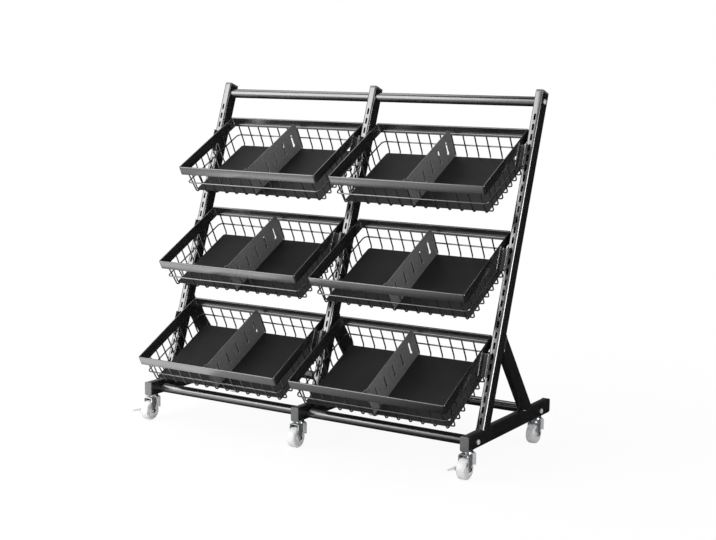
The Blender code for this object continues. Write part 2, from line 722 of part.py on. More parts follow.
def add_node(name, mesh, material, parent, location=(0, 0, 0), rotation=(0, 0, 0)):
    """Place one piece of the rack; pieces of the same kind share their mesh."""
    if not mesh.materials:
        mesh.materials.append(material)
    obj = bpy.data.objects.new(name, mesh)
    obj.location = location
    obj.rotation_euler = rotation
    obj.parent = parent
    bpy.context.scene.collection.objects.link(obj)
    return obj


def add_empty(name):
    """Empty that carries the whole rack."""
    empty = bpy.data.objects.new(name, None)
    bpy.context.scene.collection.objects.link(empty)
    return empty


def build_frames(rack, steel, plastic):
    """Three side frames with their end plugs, and the crossbars that tie them."""
    meshes = {"base_rail": rail_mesh(), "upright": upright_mesh(), "brace": brace_mesh()}
    upright_cap = cap_mesh(UPRIGHT_CAP_HEIGHT, CAP_BEVEL, "upright_cap")
    rail_cap = cap_mesh(RAIL_CAP_THICKNESS, RAIL_CAP_CORNER, "rail_cap")
    cap_seat = upright_point(UPRIGHT_LENGTH, -TUBE_DEPTH / 2)
    rail_seat = Vector((0, 0, RAIL_CLEARANCE + TUBE_DEPTH / 2))
    for name, x in FRAME_X.items():
        for piece, mesh in meshes.items():
            add_node(f"{piece}_{name}", mesh, steel, rack, x * X_AXIS)
        across = x * X_AXIS
        add_node(f"upright_cap_{name}", upright_cap, plastic, rack, cap_seat + across, (-UPRIGHT_LEAN, 0, 0))
        add_node(f"rail_cap_{name}", rail_cap, plastic, rack, rail_seat + across, (math.pi / 2, 0, 0))
    bar = bar_mesh()
    for bay, x in BAY_X.items():
        for piece, place in bar_places().items():
            add_node(f"{piece}_{bay}", bar, steel, rack, place + x * X_AXIS)


def build_baskets(rack, steel, rubber):
    """Six baskets, each with its mat and its divider, hung with their hooks in the slots."""
    pieces = {
        "basket": (basket_mesh(), steel),
        "mat": (mat_mesh(), rubber),
        "divider": (divider_mesh(), steel),
    }
    tilt = (BASKET_TILT, 0, 0)
    for tier, tier_name in enumerate(TIER_NAMES):
        hang = upright_point(LOWEST_HOOK + tier * TIER_SPACING + RIM_RISE)
        for bay, x in BAY_X.items():
            for piece, (mesh, material) in pieces.items():
                add_node(f"{piece}_{tier_name}_{bay}", mesh, material, rack, hang + x * X_AXIS, tilt)


def build_casters(rack, zinc, nylon, pedal_plastic):
    """Six swivel casters, with a brake pedal on the outer front ones."""
    stem = stem_mesh()
    fork = fork_mesh()
    wheel = wheel_mesh()
    pedal = pedal_mesh()
    for end, y in caster_stations().items():
        for side, x in FRAME_X.items():
            place = Vector((x, y, 0))
            axle = place + Vector((0, -CASTER_TRAIL, WHEEL_RADIUS))
            name = f"{end}_{side}"
            add_node(f"caster_stem_{name}", stem, zinc, rack, place + RAIL_CLEARANCE * Z_AXIS)
            add_node(f"caster_fork_{name}", fork, zinc, rack, place)
            add_node(f"caster_wheel_{name}", wheel, nylon, rack, axle)
            if name in BRAKED_CASTERS:
                add_node(f"brake_pedal_{name}", pedal, pedal_plastic, rack, axle)


def centre_over_origin(rack):
    """Move the rack so that the middle of its bounding box stands over the origin."""
    bpy.context.view_layer.update()
    reach = []
    for obj in rack.children:
        reach += [(obj.matrix_world @ vert.co).y for vert in obj.data.vertices]
    rack.location.y = -(min(reach) + max(reach)) / 2
    bpy.context.view_layer.update()


def build_rack():
    """Build every piece of the rack."""
    clear_scene()
    rack = add_empty("rack")
    steel = make_material("black_powder_coat", (0.02, 0.02, 0.022), 0.38, 0.0)
    plastic = make_material("black_plug_plastic", (0.05, 0.05, 0.055), 0.5, 0.0)
    rubber = make_material("mat_rubber", (0.03, 0.03, 0.032), 0.75, 0.0)
    zinc = make_material("zinc_plate", (0.62, 0.63, 0.65), 0.35, 1.0)
    nylon = make_material("white_nylon", (0.85, 0.85, 0.86), 0.4, 0.0)
    pedal_plastic = make_material("grey_pedal_plastic", (0.7, 0.7, 0.71), 0.45, 0.0)
    build_frames(rack, steel, plastic)
    build_baskets(rack, steel, rubber)
    build_casters(rack, zinc, nylon, pedal_plastic)
    centre_over_origin(rack)


build_rack()
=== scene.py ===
import math

import bmesh
import bpy
from mathutils import Matrix, Vector


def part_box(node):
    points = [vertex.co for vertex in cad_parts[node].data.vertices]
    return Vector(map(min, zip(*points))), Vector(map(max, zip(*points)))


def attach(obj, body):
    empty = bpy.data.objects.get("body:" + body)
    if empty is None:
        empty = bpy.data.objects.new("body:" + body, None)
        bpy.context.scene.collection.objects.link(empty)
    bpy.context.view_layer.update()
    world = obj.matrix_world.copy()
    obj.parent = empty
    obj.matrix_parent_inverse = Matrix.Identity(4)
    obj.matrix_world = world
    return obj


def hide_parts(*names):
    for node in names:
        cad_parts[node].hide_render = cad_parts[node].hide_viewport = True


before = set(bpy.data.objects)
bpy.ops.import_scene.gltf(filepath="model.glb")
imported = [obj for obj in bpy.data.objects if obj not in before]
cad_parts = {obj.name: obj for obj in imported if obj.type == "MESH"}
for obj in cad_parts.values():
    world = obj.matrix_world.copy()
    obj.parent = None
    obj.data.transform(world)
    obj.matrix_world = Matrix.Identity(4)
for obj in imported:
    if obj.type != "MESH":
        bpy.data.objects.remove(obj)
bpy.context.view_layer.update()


# Side frames
# Rectangular steel tube welded into three A frames: a base rail, an upright that leans back and is punched
# with a column of hook slots, and a brace behind it. The whole frame is powder coated black after welding.
FRAME_SIDES = ("left", "middle", "right")
TUBE_CORNER = 0.007
TUBE_WALL = 0.0015
UPRIGHT_LEAN = math.radians(19.2)
BRACE_TILT = math.radians(37.4)
SLOT_WIDTH = 0.0075
SLOT_HEIGHT = 0.023
SLOT_PITCH = 0.0353
LOWEST_SLOT = 0.0282
SLOT_COUNT = 30
TOUCH_GAP = 0.0003
WELD_RADIUS = 0.0016
WELD_RIPPLE = 0.0003
WELD_RIPPLE_PITCH = 0.004
WELD_RIPPLE_STEPS = 4
SMOOTH_ANGLE = math.radians(35)

POWDER_BLACK = (0.010, 0.010, 0.011)
POWDER_BLACK_THIN = (0.016, 0.016, 0.017)
POWDER_ROUGHNESS = (0.19, 0.27)
POWDER_IOR = 2.2
POWDER_PEEL_SCALE = 520.0
POWDER_PEEL_RELIEF = (0.10, 0.0004)
POWDER_CLOUD_SCALE = 9.0
FINE_DETAIL = 2.0

X_AXIS = Vector((1, 0, 0))
Y_AXIS = Vector((0, 1, 0))
Z_AXIS = Vector((0, 0, 1))

rail_low, rail_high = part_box("base_rail_middle")
TUBE_WIDTH = rail_high.x - rail_low.x
TUBE_DEPTH = rail_high.z - rail_low.z
frame_x = {}
for side in FRAME_SIDES:
    low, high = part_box(f"base_rail_{side}")
    frame_x[side] = (low.x + high.x) / 2

upright_low, upright_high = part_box("upright_middle")
upright_up = Vector((0, math.sin(UPRIGHT_LEAN), math.cos(UPRIGHT_LEAN)))
upright_back = Vector((0, math.cos(UPRIGHT_LEAN), -math.sin(UPRIGHT_LEAN)))
upright_foot = Vector((0, upright_low.y, upright_low.z))
upright_top = upright_foot + upright_up * ((upright_high.z - upright_low.z) / math.cos(UPRIGHT_LEAN))

brace_low, brace_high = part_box("brace_middle")
brace_up = Vector((0, -math.sin(BRACE_TILT), math.cos(BRACE_TILT)))
brace_forward = Vector((0, -math.cos(BRACE_TILT), -math.sin(BRACE_TILT)))
brace_foot = Vector((0, brace_high.y, brace_low.z))


def rounded_rectangle(half_x, half_y, radius, steps=5):
    """Points round a rectangle with round corners, counter-clockwise."""
    points = []
    for turn, (sx, sy) in enumerate(((1, 1), (-1, 1), (-1, -1), (1, -1))):
        for step in range(steps + 1):
            angle = math.pi / 2 * (turn + step / steps)
            x = sx * (half_x - radius) + radius * math.cos(angle)
            y = sy * (half_y - radius) + radius * math.sin(angle)
            points.append((x, y))
    return points


def level_ring(half_x, half_y, radius, z, steps=5):
    """Rectangle with round corners, level at a height."""
    return [Vector((x, y, z)) for x, y in rounded_rectangle(half_x, half_y, radius, steps)]


def finished_mesh(bm, name):
    """Mesh with its faces pointing out, shaded smooth across its rounded edges."""
    bmesh.ops.recalc_face_normals(bm, faces=bm.faces)
    mesh = bpy.data.meshes.new(name)
    bm.to_mesh(mesh)
    bm.free()
    mesh.shade_smooth()
    mesh.set_sharp_from_angle(angle=SMOOTH_ANGLE)
    return mesh


def skin_rings(bm, rings, closed_row=False):
    """Skin a row of point rings, with the last joined to the first or with both ends filled."""
    rows = [[bm.verts.new(point) for point in ring] for ring in rings]
    count = len(rows[0])
    following = rows[1:] + rows[:1] if closed_row else rows[1:]
    for lower, upper in zip(rows, following):
        for i in range(count):
            j = (i + 1) % count
            bm.faces.new((lower[i], lower[j], upper[j], upper[i]))
    if not closed_row:
        bm.faces.new(rows[0])
        bm.faces.new(rows[-1])


def ring_mesh(rings, name, closed_row=False):
    """Mesh of one skinned row of rings."""
    bm = bmesh.new()
    skin_rings(bm, rings, closed_row)
    return finished_mesh(bm, name)


def combined(base, tool, operation):
    """Cut a tool mesh from a base mesh, fuse the two, or keep what they share."""
    pair = [bpy.data.objects.new("work", mesh) for mesh in (base, tool)]
    for obj in pair:
        bpy.context.scene.collection.objects.link(obj)
    modifier = pair[0].modifiers.new("combine", "BOOLEAN")
    modifier.operation = operation
    modifier.object = pair[1]
    modifier.solver = "EXACT"
    depsgraph = bpy.context.evaluated_depsgraph_get()
    result = bpy.data.meshes.new_from_object(pair[0].evaluated_get(depsgraph))
    for obj in pair:
        bpy.data.objects.remove(obj, do_unlink=True)
    bm = bmesh.new()
    bm.from_mesh(result)
    bpy.data.meshes.remove(result)
    return finished_mesh(bm, base.name)


def add_piece(name, mesh, material, body, slot, place=None, replaced=()):
    """Put one piece on a body of the rack, in place of the plain solids that it stands for."""
    if not mesh.materials:
        mesh.materials.append(material)
    obj = bpy.data.objects.new(name, mesh)
    bpy.context.scene.collection.objects.link(obj)
    if place is not None:
        obj.matrix_world = place
    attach(obj, body)
    if replaced:
        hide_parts(*replaced)
    return obj


def shader_nodes(name):
    """New node material: its tree, its shader and the object's own coordinates."""
    material = bpy.data.materials.new(name)
    material.use_nodes = True
    tree = material.node_tree
    shader = tree.nodes["Principled BSDF"]
    coordinates = tree.nodes.new("ShaderNodeTexCoord").outputs["Object"]
    return material, tree, shader, coordinates


def noise(tree, coordinates, scale, detail=3.0):
    """Noise over the surface, with its features counted per metre."""
    node = tree.nodes.new("ShaderNodeTexNoise")
    node.inputs["Scale"].default_value = scale
    node.inputs["Detail"].default_value = detail
    tree.links.new(coordinates, node.inputs["Vector"])
    return node.outputs["Fac"]


def spread(tree, factor, low=0.0, high=1.0, start=0.3, end=0.7):
    """Map the middle of a noise onto a range of values."""
    node = tree.nodes.new("ShaderNodeMapRange")
    node.inputs["From Min"].default_value = start
    node.inputs["From Max"].default_value = end
    node.inputs["To Min"].default_value = low
    node.inputs["To Max"].default_value = high
    tree.links.new(factor, node.inputs["Value"])
    return node.outputs["Result"]


def painted(tree, shader, factor, first, second):
    """Surface colour that is a blend of two colours by a factor."""
    node = tree.nodes.new("ShaderNodeMix")
    node.data_type = "RGBA"
    node.inputs["A"].default_value = (*first, 1.0)
    node.inputs["B"].default_value = (*second, 1.0)
    tree.links.new(factor, node.inputs["Factor"])
    tree.links.new(node.outputs["Result"], shader.inputs["Base Color"])


def roughened(tree, shader, factor, low, high):
    """Roughness that drifts over a range by a factor."""
    tree.links.new(spread(tree, factor, low, high), shader.inputs["Roughness"])


def bumped(tree, shader, height, strength, distance):
    """Relief on the surface from a height."""
    node = tree.nodes.new("ShaderNodeBump")
    node.inputs["Strength"].default_value = strength
    node.inputs["Distance"].default_value = distance
    tree.links.new(height, node.inputs["Height"])
    tree.links.new(node.outputs["Normal"], shader.inputs["Normal"])


def make_powder_coat():
    """Semi-gloss black powder coat: fine orange peel, with slow drifts in depth and sheen."""
    material, tree, shader, coordinates = shader_nodes("black_powder_coat")
    cloud = noise(tree, coordinates, POWDER_CLOUD_SCALE)
    peel = noise(tree, coordinates, POWDER_PEEL_SCALE, FINE_DETAIL)
    painted(tree, shader, cloud, POWDER_BLACK, POWDER_BLACK_THIN)
    roughened(tree, shader, cloud, *POWDER_ROUGHNESS)
    shader.inputs["IOR"].default_value = POWDER_IOR
    bumped(tree, shader, peel, *POWDER_PEEL_RELIEF)
    return material


def tube_end(point, along, back, plane, inset=0.0):
    """Outline of a tube, or of its bore at an inset, where a plane given as (point, normal) cuts it off."""
    where, normal = plane
    points = []
    for x, depth in rounded_rectangle(TUBE_WIDTH / 2 - inset, TUBE_DEPTH / 2 - inset, TUBE_CORNER - inset):
        start = point + x * X_AXIS + (depth + TUBE_DEPTH / 2) * back
        points.append(start + along * ((where - start).dot(normal) / along.dot(normal)))
    return points


def tube_mesh(point, along, back, planes, name):
    """Rectangular tube between two planes, with its front face through the point."""
    rings = [tube_end(point, along, back, plane) for plane in planes]
    rings += [tube_end(point, along, back, plane, TUBE_WALL) for plane in reversed(planes)]
    return ring_mesh(rings, name, closed_row=True)


def slot_cutters():
    """Round-ended punches for the hook slots, in the plane of the upright's front face."""
    bm = bmesh.new()
    for number in range(SLOT_COUNT):
        middle = upright_foot + (LOWEST_SLOT + number * SLOT_PITCH) * upright_up
        outline = rounded_rectangle(SLOT_WIDTH / 2, SLOT_HEIGHT / 2, SLOT_WIDTH / 2 - TOUCH_GAP)
        mouth = [middle + x * X_AXIS + up * upright_up for x, up in outline]
        skin_rings(bm, [[p + depth * upright_back for p in mouth] for depth in (-TUBE_WALL, 2 * TUBE_WALL)])
    return finished_mesh(bm, "slots")


def circle(centre, radius, sides, first=Y_AXIS, second=Z_AXIS):
    """Points round a circle in the plane of two unit vectors, or else crosswise to X."""
    points = []
    for k in range(sides):
        angle = 2 * math.pi * k / sides
        points.append(centre + radius * (math.cos(angle) * first + math.sin(angle) * second))
    return points


def sweep(bm, points, radius, sides=10, closed=False):
    """Round rod along a row of points; the radius may be a function of the distance along it."""
    count = len(points)
    travelled = 0.0
    normal = None
    rings = []
    for i, point in enumerate(points):
        before = points[i - 1] if closed or i > 0 else point
        after = points[(i + 1) % count] if closed or i < count - 1 else point
        along = (after - before).normalized()
        if normal is None:
            normal = along.orthogonal().normalized()
        normal = (normal - along * normal.dot(along)).normalized()
        across = along.cross(normal)
        thick = radius(travelled) if callable(radius) else radius
        rings.append(circle(point, thick, sides, normal, across))
        travelled += (after - point).length
    skin_rings(bm, rings, closed_row=closed)


def weld_mesh():
    """Weld beads round the foot of the upright and round both ends of the brace."""
    def bead_radius(travelled):
        return WELD_RADIUS + WELD_RIPPLE * math.sin(2 * math.pi * travelled / WELD_RIPPLE_PITCH)

    joints = (
        (upright_foot, upright_up, upright_back, (upright_foot, Z_AXIS)),
        (brace_foot, brace_up, brace_forward, (brace_foot, Z_AXIS)),
        (brace_foot, brace_up, brace_forward, (upright_foot + TUBE_DEPTH * upright_back, upright_back)),
    )
    bm = bmesh.new()
    for joint in joints:
        corners = tube_end(*joint)
        path = []
        for i, corner in enumerate(corners):
            following = corners[(i + 1) % len(corners)]
            step = WELD_RIPPLE_PITCH / WELD_RIPPLE_STEPS
            pieces = max(1, round((following - corner).length / step))
            path += [corner.lerp(following, k / pieces) for k in range(pieces)]
        sweep(bm, path, bead_radius, sides=6, closed=True)
    return finished_mesh(bm, "welds")


powder_coat = make_powder_coat()
rail_start = Vector((0, rail_low.y, rail_low.z))
rail_end = Vector((0, rail_high.y, rail_low.z))
rail_ends = ((rail_start, Y_AXIS), (rail_end, Y_AXIS))
rail_mesh = tube_mesh(rail_start, Y_AXIS, Z_AXIS, rail_ends, "rail")
upright_ends = ((upright_foot, Z_AXIS), (upright_top, upright_up))
upright_tube = tube_mesh(upright_foot, upright_up, upright_back, upright_ends, "upright")
upright_mesh = combined(upright_tube, slot_cutters(), "DIFFERENCE")
brace_head = upright_foot + (TUBE_DEPTH + TOUCH_GAP) * upright_back
brace_ends = ((brace_foot, Z_AXIS), (brace_head, upright_back))
brace_mesh = tube_mesh(brace_foot, brace_up, brace_forward, brace_ends, "brace")
welds = weld_mesh()
frame_tubes = (
    ("rail_tube", rail_mesh, "base_rail"),
    ("slotted_tube", upright_mesh, "upright"),
    ("brace_tube", brace_mesh, "brace"),
)
for side, x in frame_x.items():
    place = Matrix.Translation((x, 0, 0))
    for name, mesh, node in frame_tubes:
        add_piece(f"{name}_{side}", mesh, powder_coat, "frame", "black_powder_coat", place,
                  [f"{node}_{side}"])
    add_piece(f"weld_beads_{side}", welds, powder_coat, "frame", "black_powder_coat", place)


# Crossbars
# Round steel tubes that tie the three frames together at the top and along both sides of the floor frame.
# They are cut square, seated between the frames and powder coated with them.
BAYS = ("left", "right")
BAR_SIDES = 48
BAR_EDGE = 0.0008
BAR_WALL = 0.0015


def turned_mesh(profile, axis, sides, name, closed_row=False):
    """Piece turned about an axis through the origin, from (radius, place along the axis) points."""
    first = axis.orthogonal().normalized()
    second = axis.cross(first)
    rings = [circle(place * axis, radius, sides, first, second) for radius, place in profile]
    return ring_mesh(rings, name, closed_row)


def bar_mesh(low, high):
    """Crossbar tube, centred on the origin along X."""
    half = (high.x - low.x) / 2
    radius = (high.z - low.z) / 2
    outside = (
        (radius - BAR_EDGE, -half), (radius, BAR_EDGE - half),
        (radius, half - BAR_EDGE), (radius - BAR_EDGE, half),
    )
    inside = ((radius - BAR_WALL, half), (radius - BAR_WALL, -half))
    return turned_mesh(outside + inside, X_AXIS, BAR_SIDES, "crossbar", closed_row=True)


crossbar = bar_mesh(*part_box("top_bar_left"))
bar_centre = {}
for level in ("top", "front", "rear"):
    for bay in BAYS:
        low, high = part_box(f"{level}_bar_{bay}")
        bar_centre[level, bay] = (low + high) / 2
        add_piece(f"crossbar_{level}_{bay}", crossbar, powder_coat, "frame", "black_powder_coat",
                  Matrix.Translation(bar_centre[level, bay]), [f"{level}_bar_{bay}"])


# Frame bolts
# Button-head bolts with a hex socket go through the outer frames into the ends of the crossbars.
# They are bright zinc plated, and stay unpainted.
BOLT_RADIUS = 0.0085
BOLT_HEIGHT = 0.0045
BOLT_SOCKET = 0.003
BOLT_SOCKET_DEPTH = 0.0025
BOLT_SIDES = 36
BOLT_DOME_STEPS = 6
BOLT_DOME_ANGLE = math.radians(68)
BOLT_DOME_POWER = 0.8
BOLT_RIM_SHARE = 0.25

ZINC = (0.70, 0.71, 0.72)
ZINC_DULL = (0.52, 0.53, 0.55)
ZINC_ROUGHNESS = (0.20, 0.34)
ZINC_METALLIC = 1.0
DULL_METALLIC = 0.8
SATIN_ROUGHNESS = (0.30, 0.42)
SATIN_METALLIC = 0.1
SPANGLE_SCALE = 160.0
SPANGLE_DETAIL = 4.0
HANDLING_SCALE = 900.0
HANDLING_RELIEF = (0.05, 0.0002)


def make_zinc(name, metallic, roughness):
    """Zinc plate with a faint spangle and light handling marks, satin where it is less metallic."""
    material, tree, shader, coordinates = shader_nodes(name)
    spangle = noise(tree, coordinates, SPANGLE_SCALE, SPANGLE_DETAIL)
    marks = noise(tree, coordinates, HANDLING_SCALE, FINE_DETAIL)
    painted(tree, shader, spread(tree, spangle), ZINC, ZINC_DULL)
    roughened(tree, shader, marks, *roughness)
    shader.inputs["Metallic"].default_value = metallic
    bumped(tree, shader, marks, *HANDLING_RELIEF)
    return material


def hexagon(centre, inradius, sides):
    """Points round a hexagon crosswise to X, as many as a circle of that many sides has."""
    points = []
    for k in range(sides):
        angle = 2 * math.pi * k / sides
        wedge = (angle + math.pi / 6) % (math.pi / 3) - math.pi / 6
        reach = inradius / math.cos(wedge)
        points.append(centre + reach * (math.cos(angle) * Y_AXIS + math.sin(angle) * Z_AXIS))
    return points


def bolt_mesh():
    """Button head that stands out along +X from the origin, with a hex socket."""
    sunk = Vector((-BOLT_RIM_SHARE * BOLT_HEIGHT, 0, 0))
    rings = [circle(sunk, BOLT_RADIUS, BOLT_SIDES)]
    for step in range(BOLT_DOME_STEPS):
        angle = BOLT_DOME_ANGLE * step / (BOLT_DOME_STEPS - 1)
        rise = math.sin(angle) / math.sin(BOLT_DOME_ANGLE)
        out = BOLT_HEIGHT * (BOLT_RIM_SHARE + (1 - BOLT_RIM_SHARE) * rise)
        radius = BOLT_RADIUS * math.cos(angle) ** BOLT_DOME_POWER
        rings.append(circle(Vector((out, 0, 0)), radius, BOLT_SIDES))
    mouth = Vector((BOLT_HEIGHT, 0, 0))
    rings.append(hexagon(mouth, BOLT_SOCKET, BOLT_SIDES))
    rings.append(hexagon(mouth - BOLT_SOCKET_DEPTH * X_AXIS, BOLT_SOCKET, BOLT_SIDES))
    return ring_mesh(rings, "bolt")


zinc = make_zinc("zinc_plate", ZINC_METALLIC, ZINC_ROUGHNESS)
dull_zinc = make_zinc("dull_zinc_plate", DULL_METALLIC, ZINC_ROUGHNESS)
satin_zinc = make_zinc("satin_zinc_plate", SATIN_METALLIC, SATIN_ROUGHNESS)
bolt = bolt_mesh()
for side, bay, turn in (("left", "left", math.pi), ("right", "right", 0.0)):
    face = frame_x[side] + math.cos(turn) * TUBE_WIDTH / 2
    for level in ("top", "front", "rear"):
        centre = bar_centre[level, bay]
        place = Matrix.Translation((face, centre.y, centre.z)) @ Matrix.Rotation(turn, 4, "Z")
        add_piece(f"frame_bolt_{level}_{side}", bolt, satin_zinc, "frame", "zinc_steel", place)


# Tube plugs
# Moulded black plastic plugs close the tubes: a flat one with rounded edges on top of each upright, and a
# ribbed one with round lower corners in both ends of each base rail.
PLUG_EDGE = 0.002
UPRIGHT_PLUG_HEIGHT = 0.008
UPRIGHT_PLUG_STEPS = 4
RAIL_PLUG_STEPS = 3
RAIL_PLUG_CORNER = 0.009
RAIL_PLUG_TOP_CORNER = 0.003
RIB_COUNT = 5
RIB_HEIGHT = 0.0008
RIB_FIELD = 0.011
PLUG_STATIONS = 60
PLUG_BLACK = (0.090, 0.090, 0.091)
PLUG_GREY = (0.130, 0.130, 0.131)
PLUG_ROUGHNESS = (0.38, 0.50)
PLUG_SPECULAR = 0.8
PLUG_CLOUD_SCALE = 60.0
PLUG_GRAIN_SCALE = 1400.0
PLUG_GRAIN_RELIEF = (0.12, 0.0002)


def make_plug_plastic():
    """Moulded polyethylene: black, a little milky, with the fine grain of its mould."""
    material, tree, shader, coordinates = shader_nodes("plug_plastic")
    cloud = noise(tree, coordinates, PLUG_CLOUD_SCALE)
    grain = noise(tree, coordinates, PLUG_GRAIN_SCALE, FINE_DETAIL)
    painted(tree, shader, cloud, PLUG_BLACK, PLUG_GREY)
    roughened(tree, shader, cloud, *PLUG_ROUGHNESS)
    shader.inputs["Specular IOR Level"].default_value = PLUG_SPECULAR
    bumped(tree, shader, grain, *PLUG_GRAIN_RELIEF)
    return material


def upright_plug_mesh(height):
    """Cap of an upright, pointing along +Z from the tube's end at z = 0."""
    rings = [level_ring(TUBE_WIDTH / 2, TUBE_DEPTH / 2, TUBE_CORNER, TOUCH_GAP)]
    for step in range(UPRIGHT_PLUG_STEPS + 1):
        angle = math.pi / 2 * step / UPRIGHT_PLUG_STEPS
        inset = PLUG_EDGE * (1 - math.cos(angle))
        z = height - PLUG_EDGE * (1 - math.sin(angle))
        rings.append(level_ring(TUBE_WIDTH / 2 - inset, TUBE_DEPTH / 2 - inset, TUBE_CORNER, z))
    return ring_mesh(rings, "upright_plug")


def rail_plug_mesh(thickness):
    """Ribbed cap of a rail, pointing along -Y from the tube's end at y = 0."""
    half = TUBE_WIDTH / 2
    tall = TUBE_DEPTH / 2

    def corner_cut(x, radius):
        past = max(0.0, abs(x) - (half - radius))
        return radius - math.sqrt(max(0.0, radius ** 2 - past ** 2))

    quarter = [math.pi / 2 * step / RAIL_PLUG_STEPS for step in range(RAIL_PLUG_STEPS + 1)]
    rings = []
    for station in range(PLUG_STATIONS + 1):
        x = -half * math.cos(math.pi * station / PLUG_STATIONS)
        low = -tall + corner_cut(x, RAIL_PLUG_CORNER)
        high = tall - corner_cut(x, RAIL_PLUG_TOP_CORNER)
        face = thickness - corner_cut(x, PLUG_EDGE)
        wave = math.cos(math.pi * RIB_COUNT * x / RIB_FIELD)
        rib = RIB_HEIGHT * max(0.0, wave) if abs(x) < RIB_FIELD else 0.0
        section = [(TOUCH_GAP, low)]
        for angle in quarter:
            out = face - PLUG_EDGE + PLUG_EDGE * math.sin(angle)
            section.append((max(out, TOUCH_GAP * 2), low + PLUG_EDGE * (1 - math.cos(angle))))
        section += [(face + rib, low + 2 * PLUG_EDGE), (face + rib, high - 2 * PLUG_EDGE)]
        for angle in quarter:
            out = face - PLUG_EDGE + PLUG_EDGE * math.cos(angle)
            section.append((max(out, TOUCH_GAP * 2), high - PLUG_EDGE * (1 - math.sin(angle))))
        section.append((TOUCH_GAP, high))
        rings.append([Vector((x, -out, z)) for out, z in section])
    return ring_mesh(rings, "rail_plug")


moulding = (make_plug_plastic(), "frame", "plug_plastic")
cap_low, cap_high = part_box("rail_cap_middle")
upright_plug = upright_plug_mesh(UPRIGHT_PLUG_HEIGHT)
rail_plug = rail_plug_mesh(rail_low.y - cap_low.y)
rail_mid_height = (rail_low.z + rail_high.z) / 2
for side, x in frame_x.items():
    seat = upright_top + TUBE_DEPTH / 2 * upright_back + x * X_AXIS
    add_piece(f"upright_plug_{side}", upright_plug, *moulding,
              Matrix.Translation(seat) @ Matrix.Rotation(-UPRIGHT_LEAN, 4, "X"), [f"upright_cap_{side}"])
    add_piece(f"rail_plug_front_{side}", rail_plug, *moulding,
              Matrix.Translation((x, rail_low.y, rail_mid_height)), [f"rail_cap_{side}"])
    add_piece(f"rail_plug_rear_{side}", rail_plug, *moulding,
              Matrix.Translation((x, rail_high.y, rail_mid_height)) @ Matrix.Rotation(math.pi, 4, "Z"))


# Swivel casters
# A zinc-plated stem bolts up into the rail and carries a stamped fork on a ball raceway. A white moulded
# wheel turns on a bolt through the fork's legs, and the outer front casters have a press-down brake pedal.
CASTER_ENDS = ("front", "rear")
FORK_SHEET = 0.0025
FORK_BEND = 0.006
FORK_ROOF = 0.0832
FORK_FRONT = -0.036
FORK_BACK = 0.016
FORK_SKIRT_FRONT = 0.0725
FORK_SKIRT_BACK = 0.06
FORK_HEEL = Vector((0.0, 0.0080, 0.0430))
FORK_BOSS = 0.0095
FORK_BOSS_ROUND = 0.9 * FORK_BOSS
FORK_WAIST = (1.1 * FORK_BOSS, 1.6 * FORK_BOSS)
FORK_SEAM_RISE = 2.0 * FORK_BOSS
FORK_CROWN_RISE = 1.4 * FORK_BOSS
FORK_WIDTH = 0.0384
FORK_STEP = 0.0028
FORK_STEP_START = -0.01
FORK_STEP_END = -0.004
FORK_FOLD = 0.006
FORK_FOLD_START = 0.009
# (radius, height over the rail's underside), then (radius, height over the fork's roof)
STEM_FLANGE = (
    (0.0050, 0.0180), (0.0050, -TOUCH_GAP), (0.0135, -TOUCH_GAP), (0.0145, -0.0013),
    (0.0145, -0.0030), (0.0135, -0.0042), (0.0044, -0.0042),
)
KING_PIN = ((0.0044, -0.0058), (0.0078, -0.0058), (0.0080, -0.0070), (0.0066, -0.0084), (0.0040, -0.0091))
RACEWAY_RADIUS = 0.016
RACEWAY_BORE = 0.0047
RACEWAY_TOP = 0.0022
RACEWAY_BOTTOM = -0.0054
# (inset from the radius, height over the fork's roof)
RACEWAY_DISH = ((0.0025, RACEWAY_TOP), (0.0008, 0.0014), (0.0, 0.0), (0.0, -0.0030), (0.0015, -0.0048))
WHEEL_SIDES = 72
WHEEL_SHOULDER = 0.0082
# (radius, inset from the wheel's side), from the bore out to the tread
WHEEL_FACE = (
    (0.0044, 0.0), (0.0092, 0.0), (0.0098, 0.0006), (0.0104, 0.004), (0.0112, 0.0046), (0.0232, 0.0046),
    (0.024, 0.004), (0.0248, 0.0008), (0.0258, 0.0003), (0.0264, 0.0008), (0.0266, 0.0024), (0.028, 0.0026),
    (0.0283, 0.0008), (0.0292, 0.0004), (0.0308, 0.0006), (0.0328, 0.0018), (0.034, 0.0038), (0.0347, 0.006),
)
AXLE_RADIUS = 0.004
AXLE_NUT = 0.0065
AXLE_NUT_HEIGHT = 0.0045
AXLE_NUT_CHAMFER = (0.001, 0.0008)
AXLE_PIN_CHAMFER = 0.0006
AXLE_PIN_PAST = (0.0004, -0.0002)
NYLON = (0.78, 0.78, 0.78)
NYLON_SHADE = (0.70, 0.70, 0.71)
NYLON_ROUGHNESS = (0.32, 0.44)
PEDAL_INNER = 0.021
PEDAL_OUTER = 0.0265
PEDAL_EDGE = 0.0008
# (y, z, corner radius) about the axle
PEDAL_OUTLINE = (
    (0.0075, 0.0075, 0.0070), (0.0075, -0.0075, 0.0070), (-0.0085, -0.0075, 0.006), (-0.0400, 0.0015, 0.020),
    (-0.0740, 0.0065, 0.0020), (-0.0740, 0.0115, 0.0020), (-0.0420, 0.0086, 0.020), (-0.0100, 0.0075, 0.010),
)
PEDAL_MIDDLE = Vector((0, -0.0333, 0.0020))
PEDAL_HALF_LENGTH = 0.04
PEDAL_HALF_HEIGHT = 0.009
PEDAL_HOLE_REACH = -0.03
PEDAL_GREY = (0.86, 0.86, 0.86)
PEDAL_GREY_DARK = (0.78, 0.78, 0.79)
PEDAL_ROUGHNESS = (0.39, 0.51)
MOULD_FLOW_SCALE = 45.0
MOULD_GRAIN_SCALE = 1200.0
MOULD_GRAIN_RELIEF = (0.06, 0.0002)
BRAKED = ("front_left", "front_right")


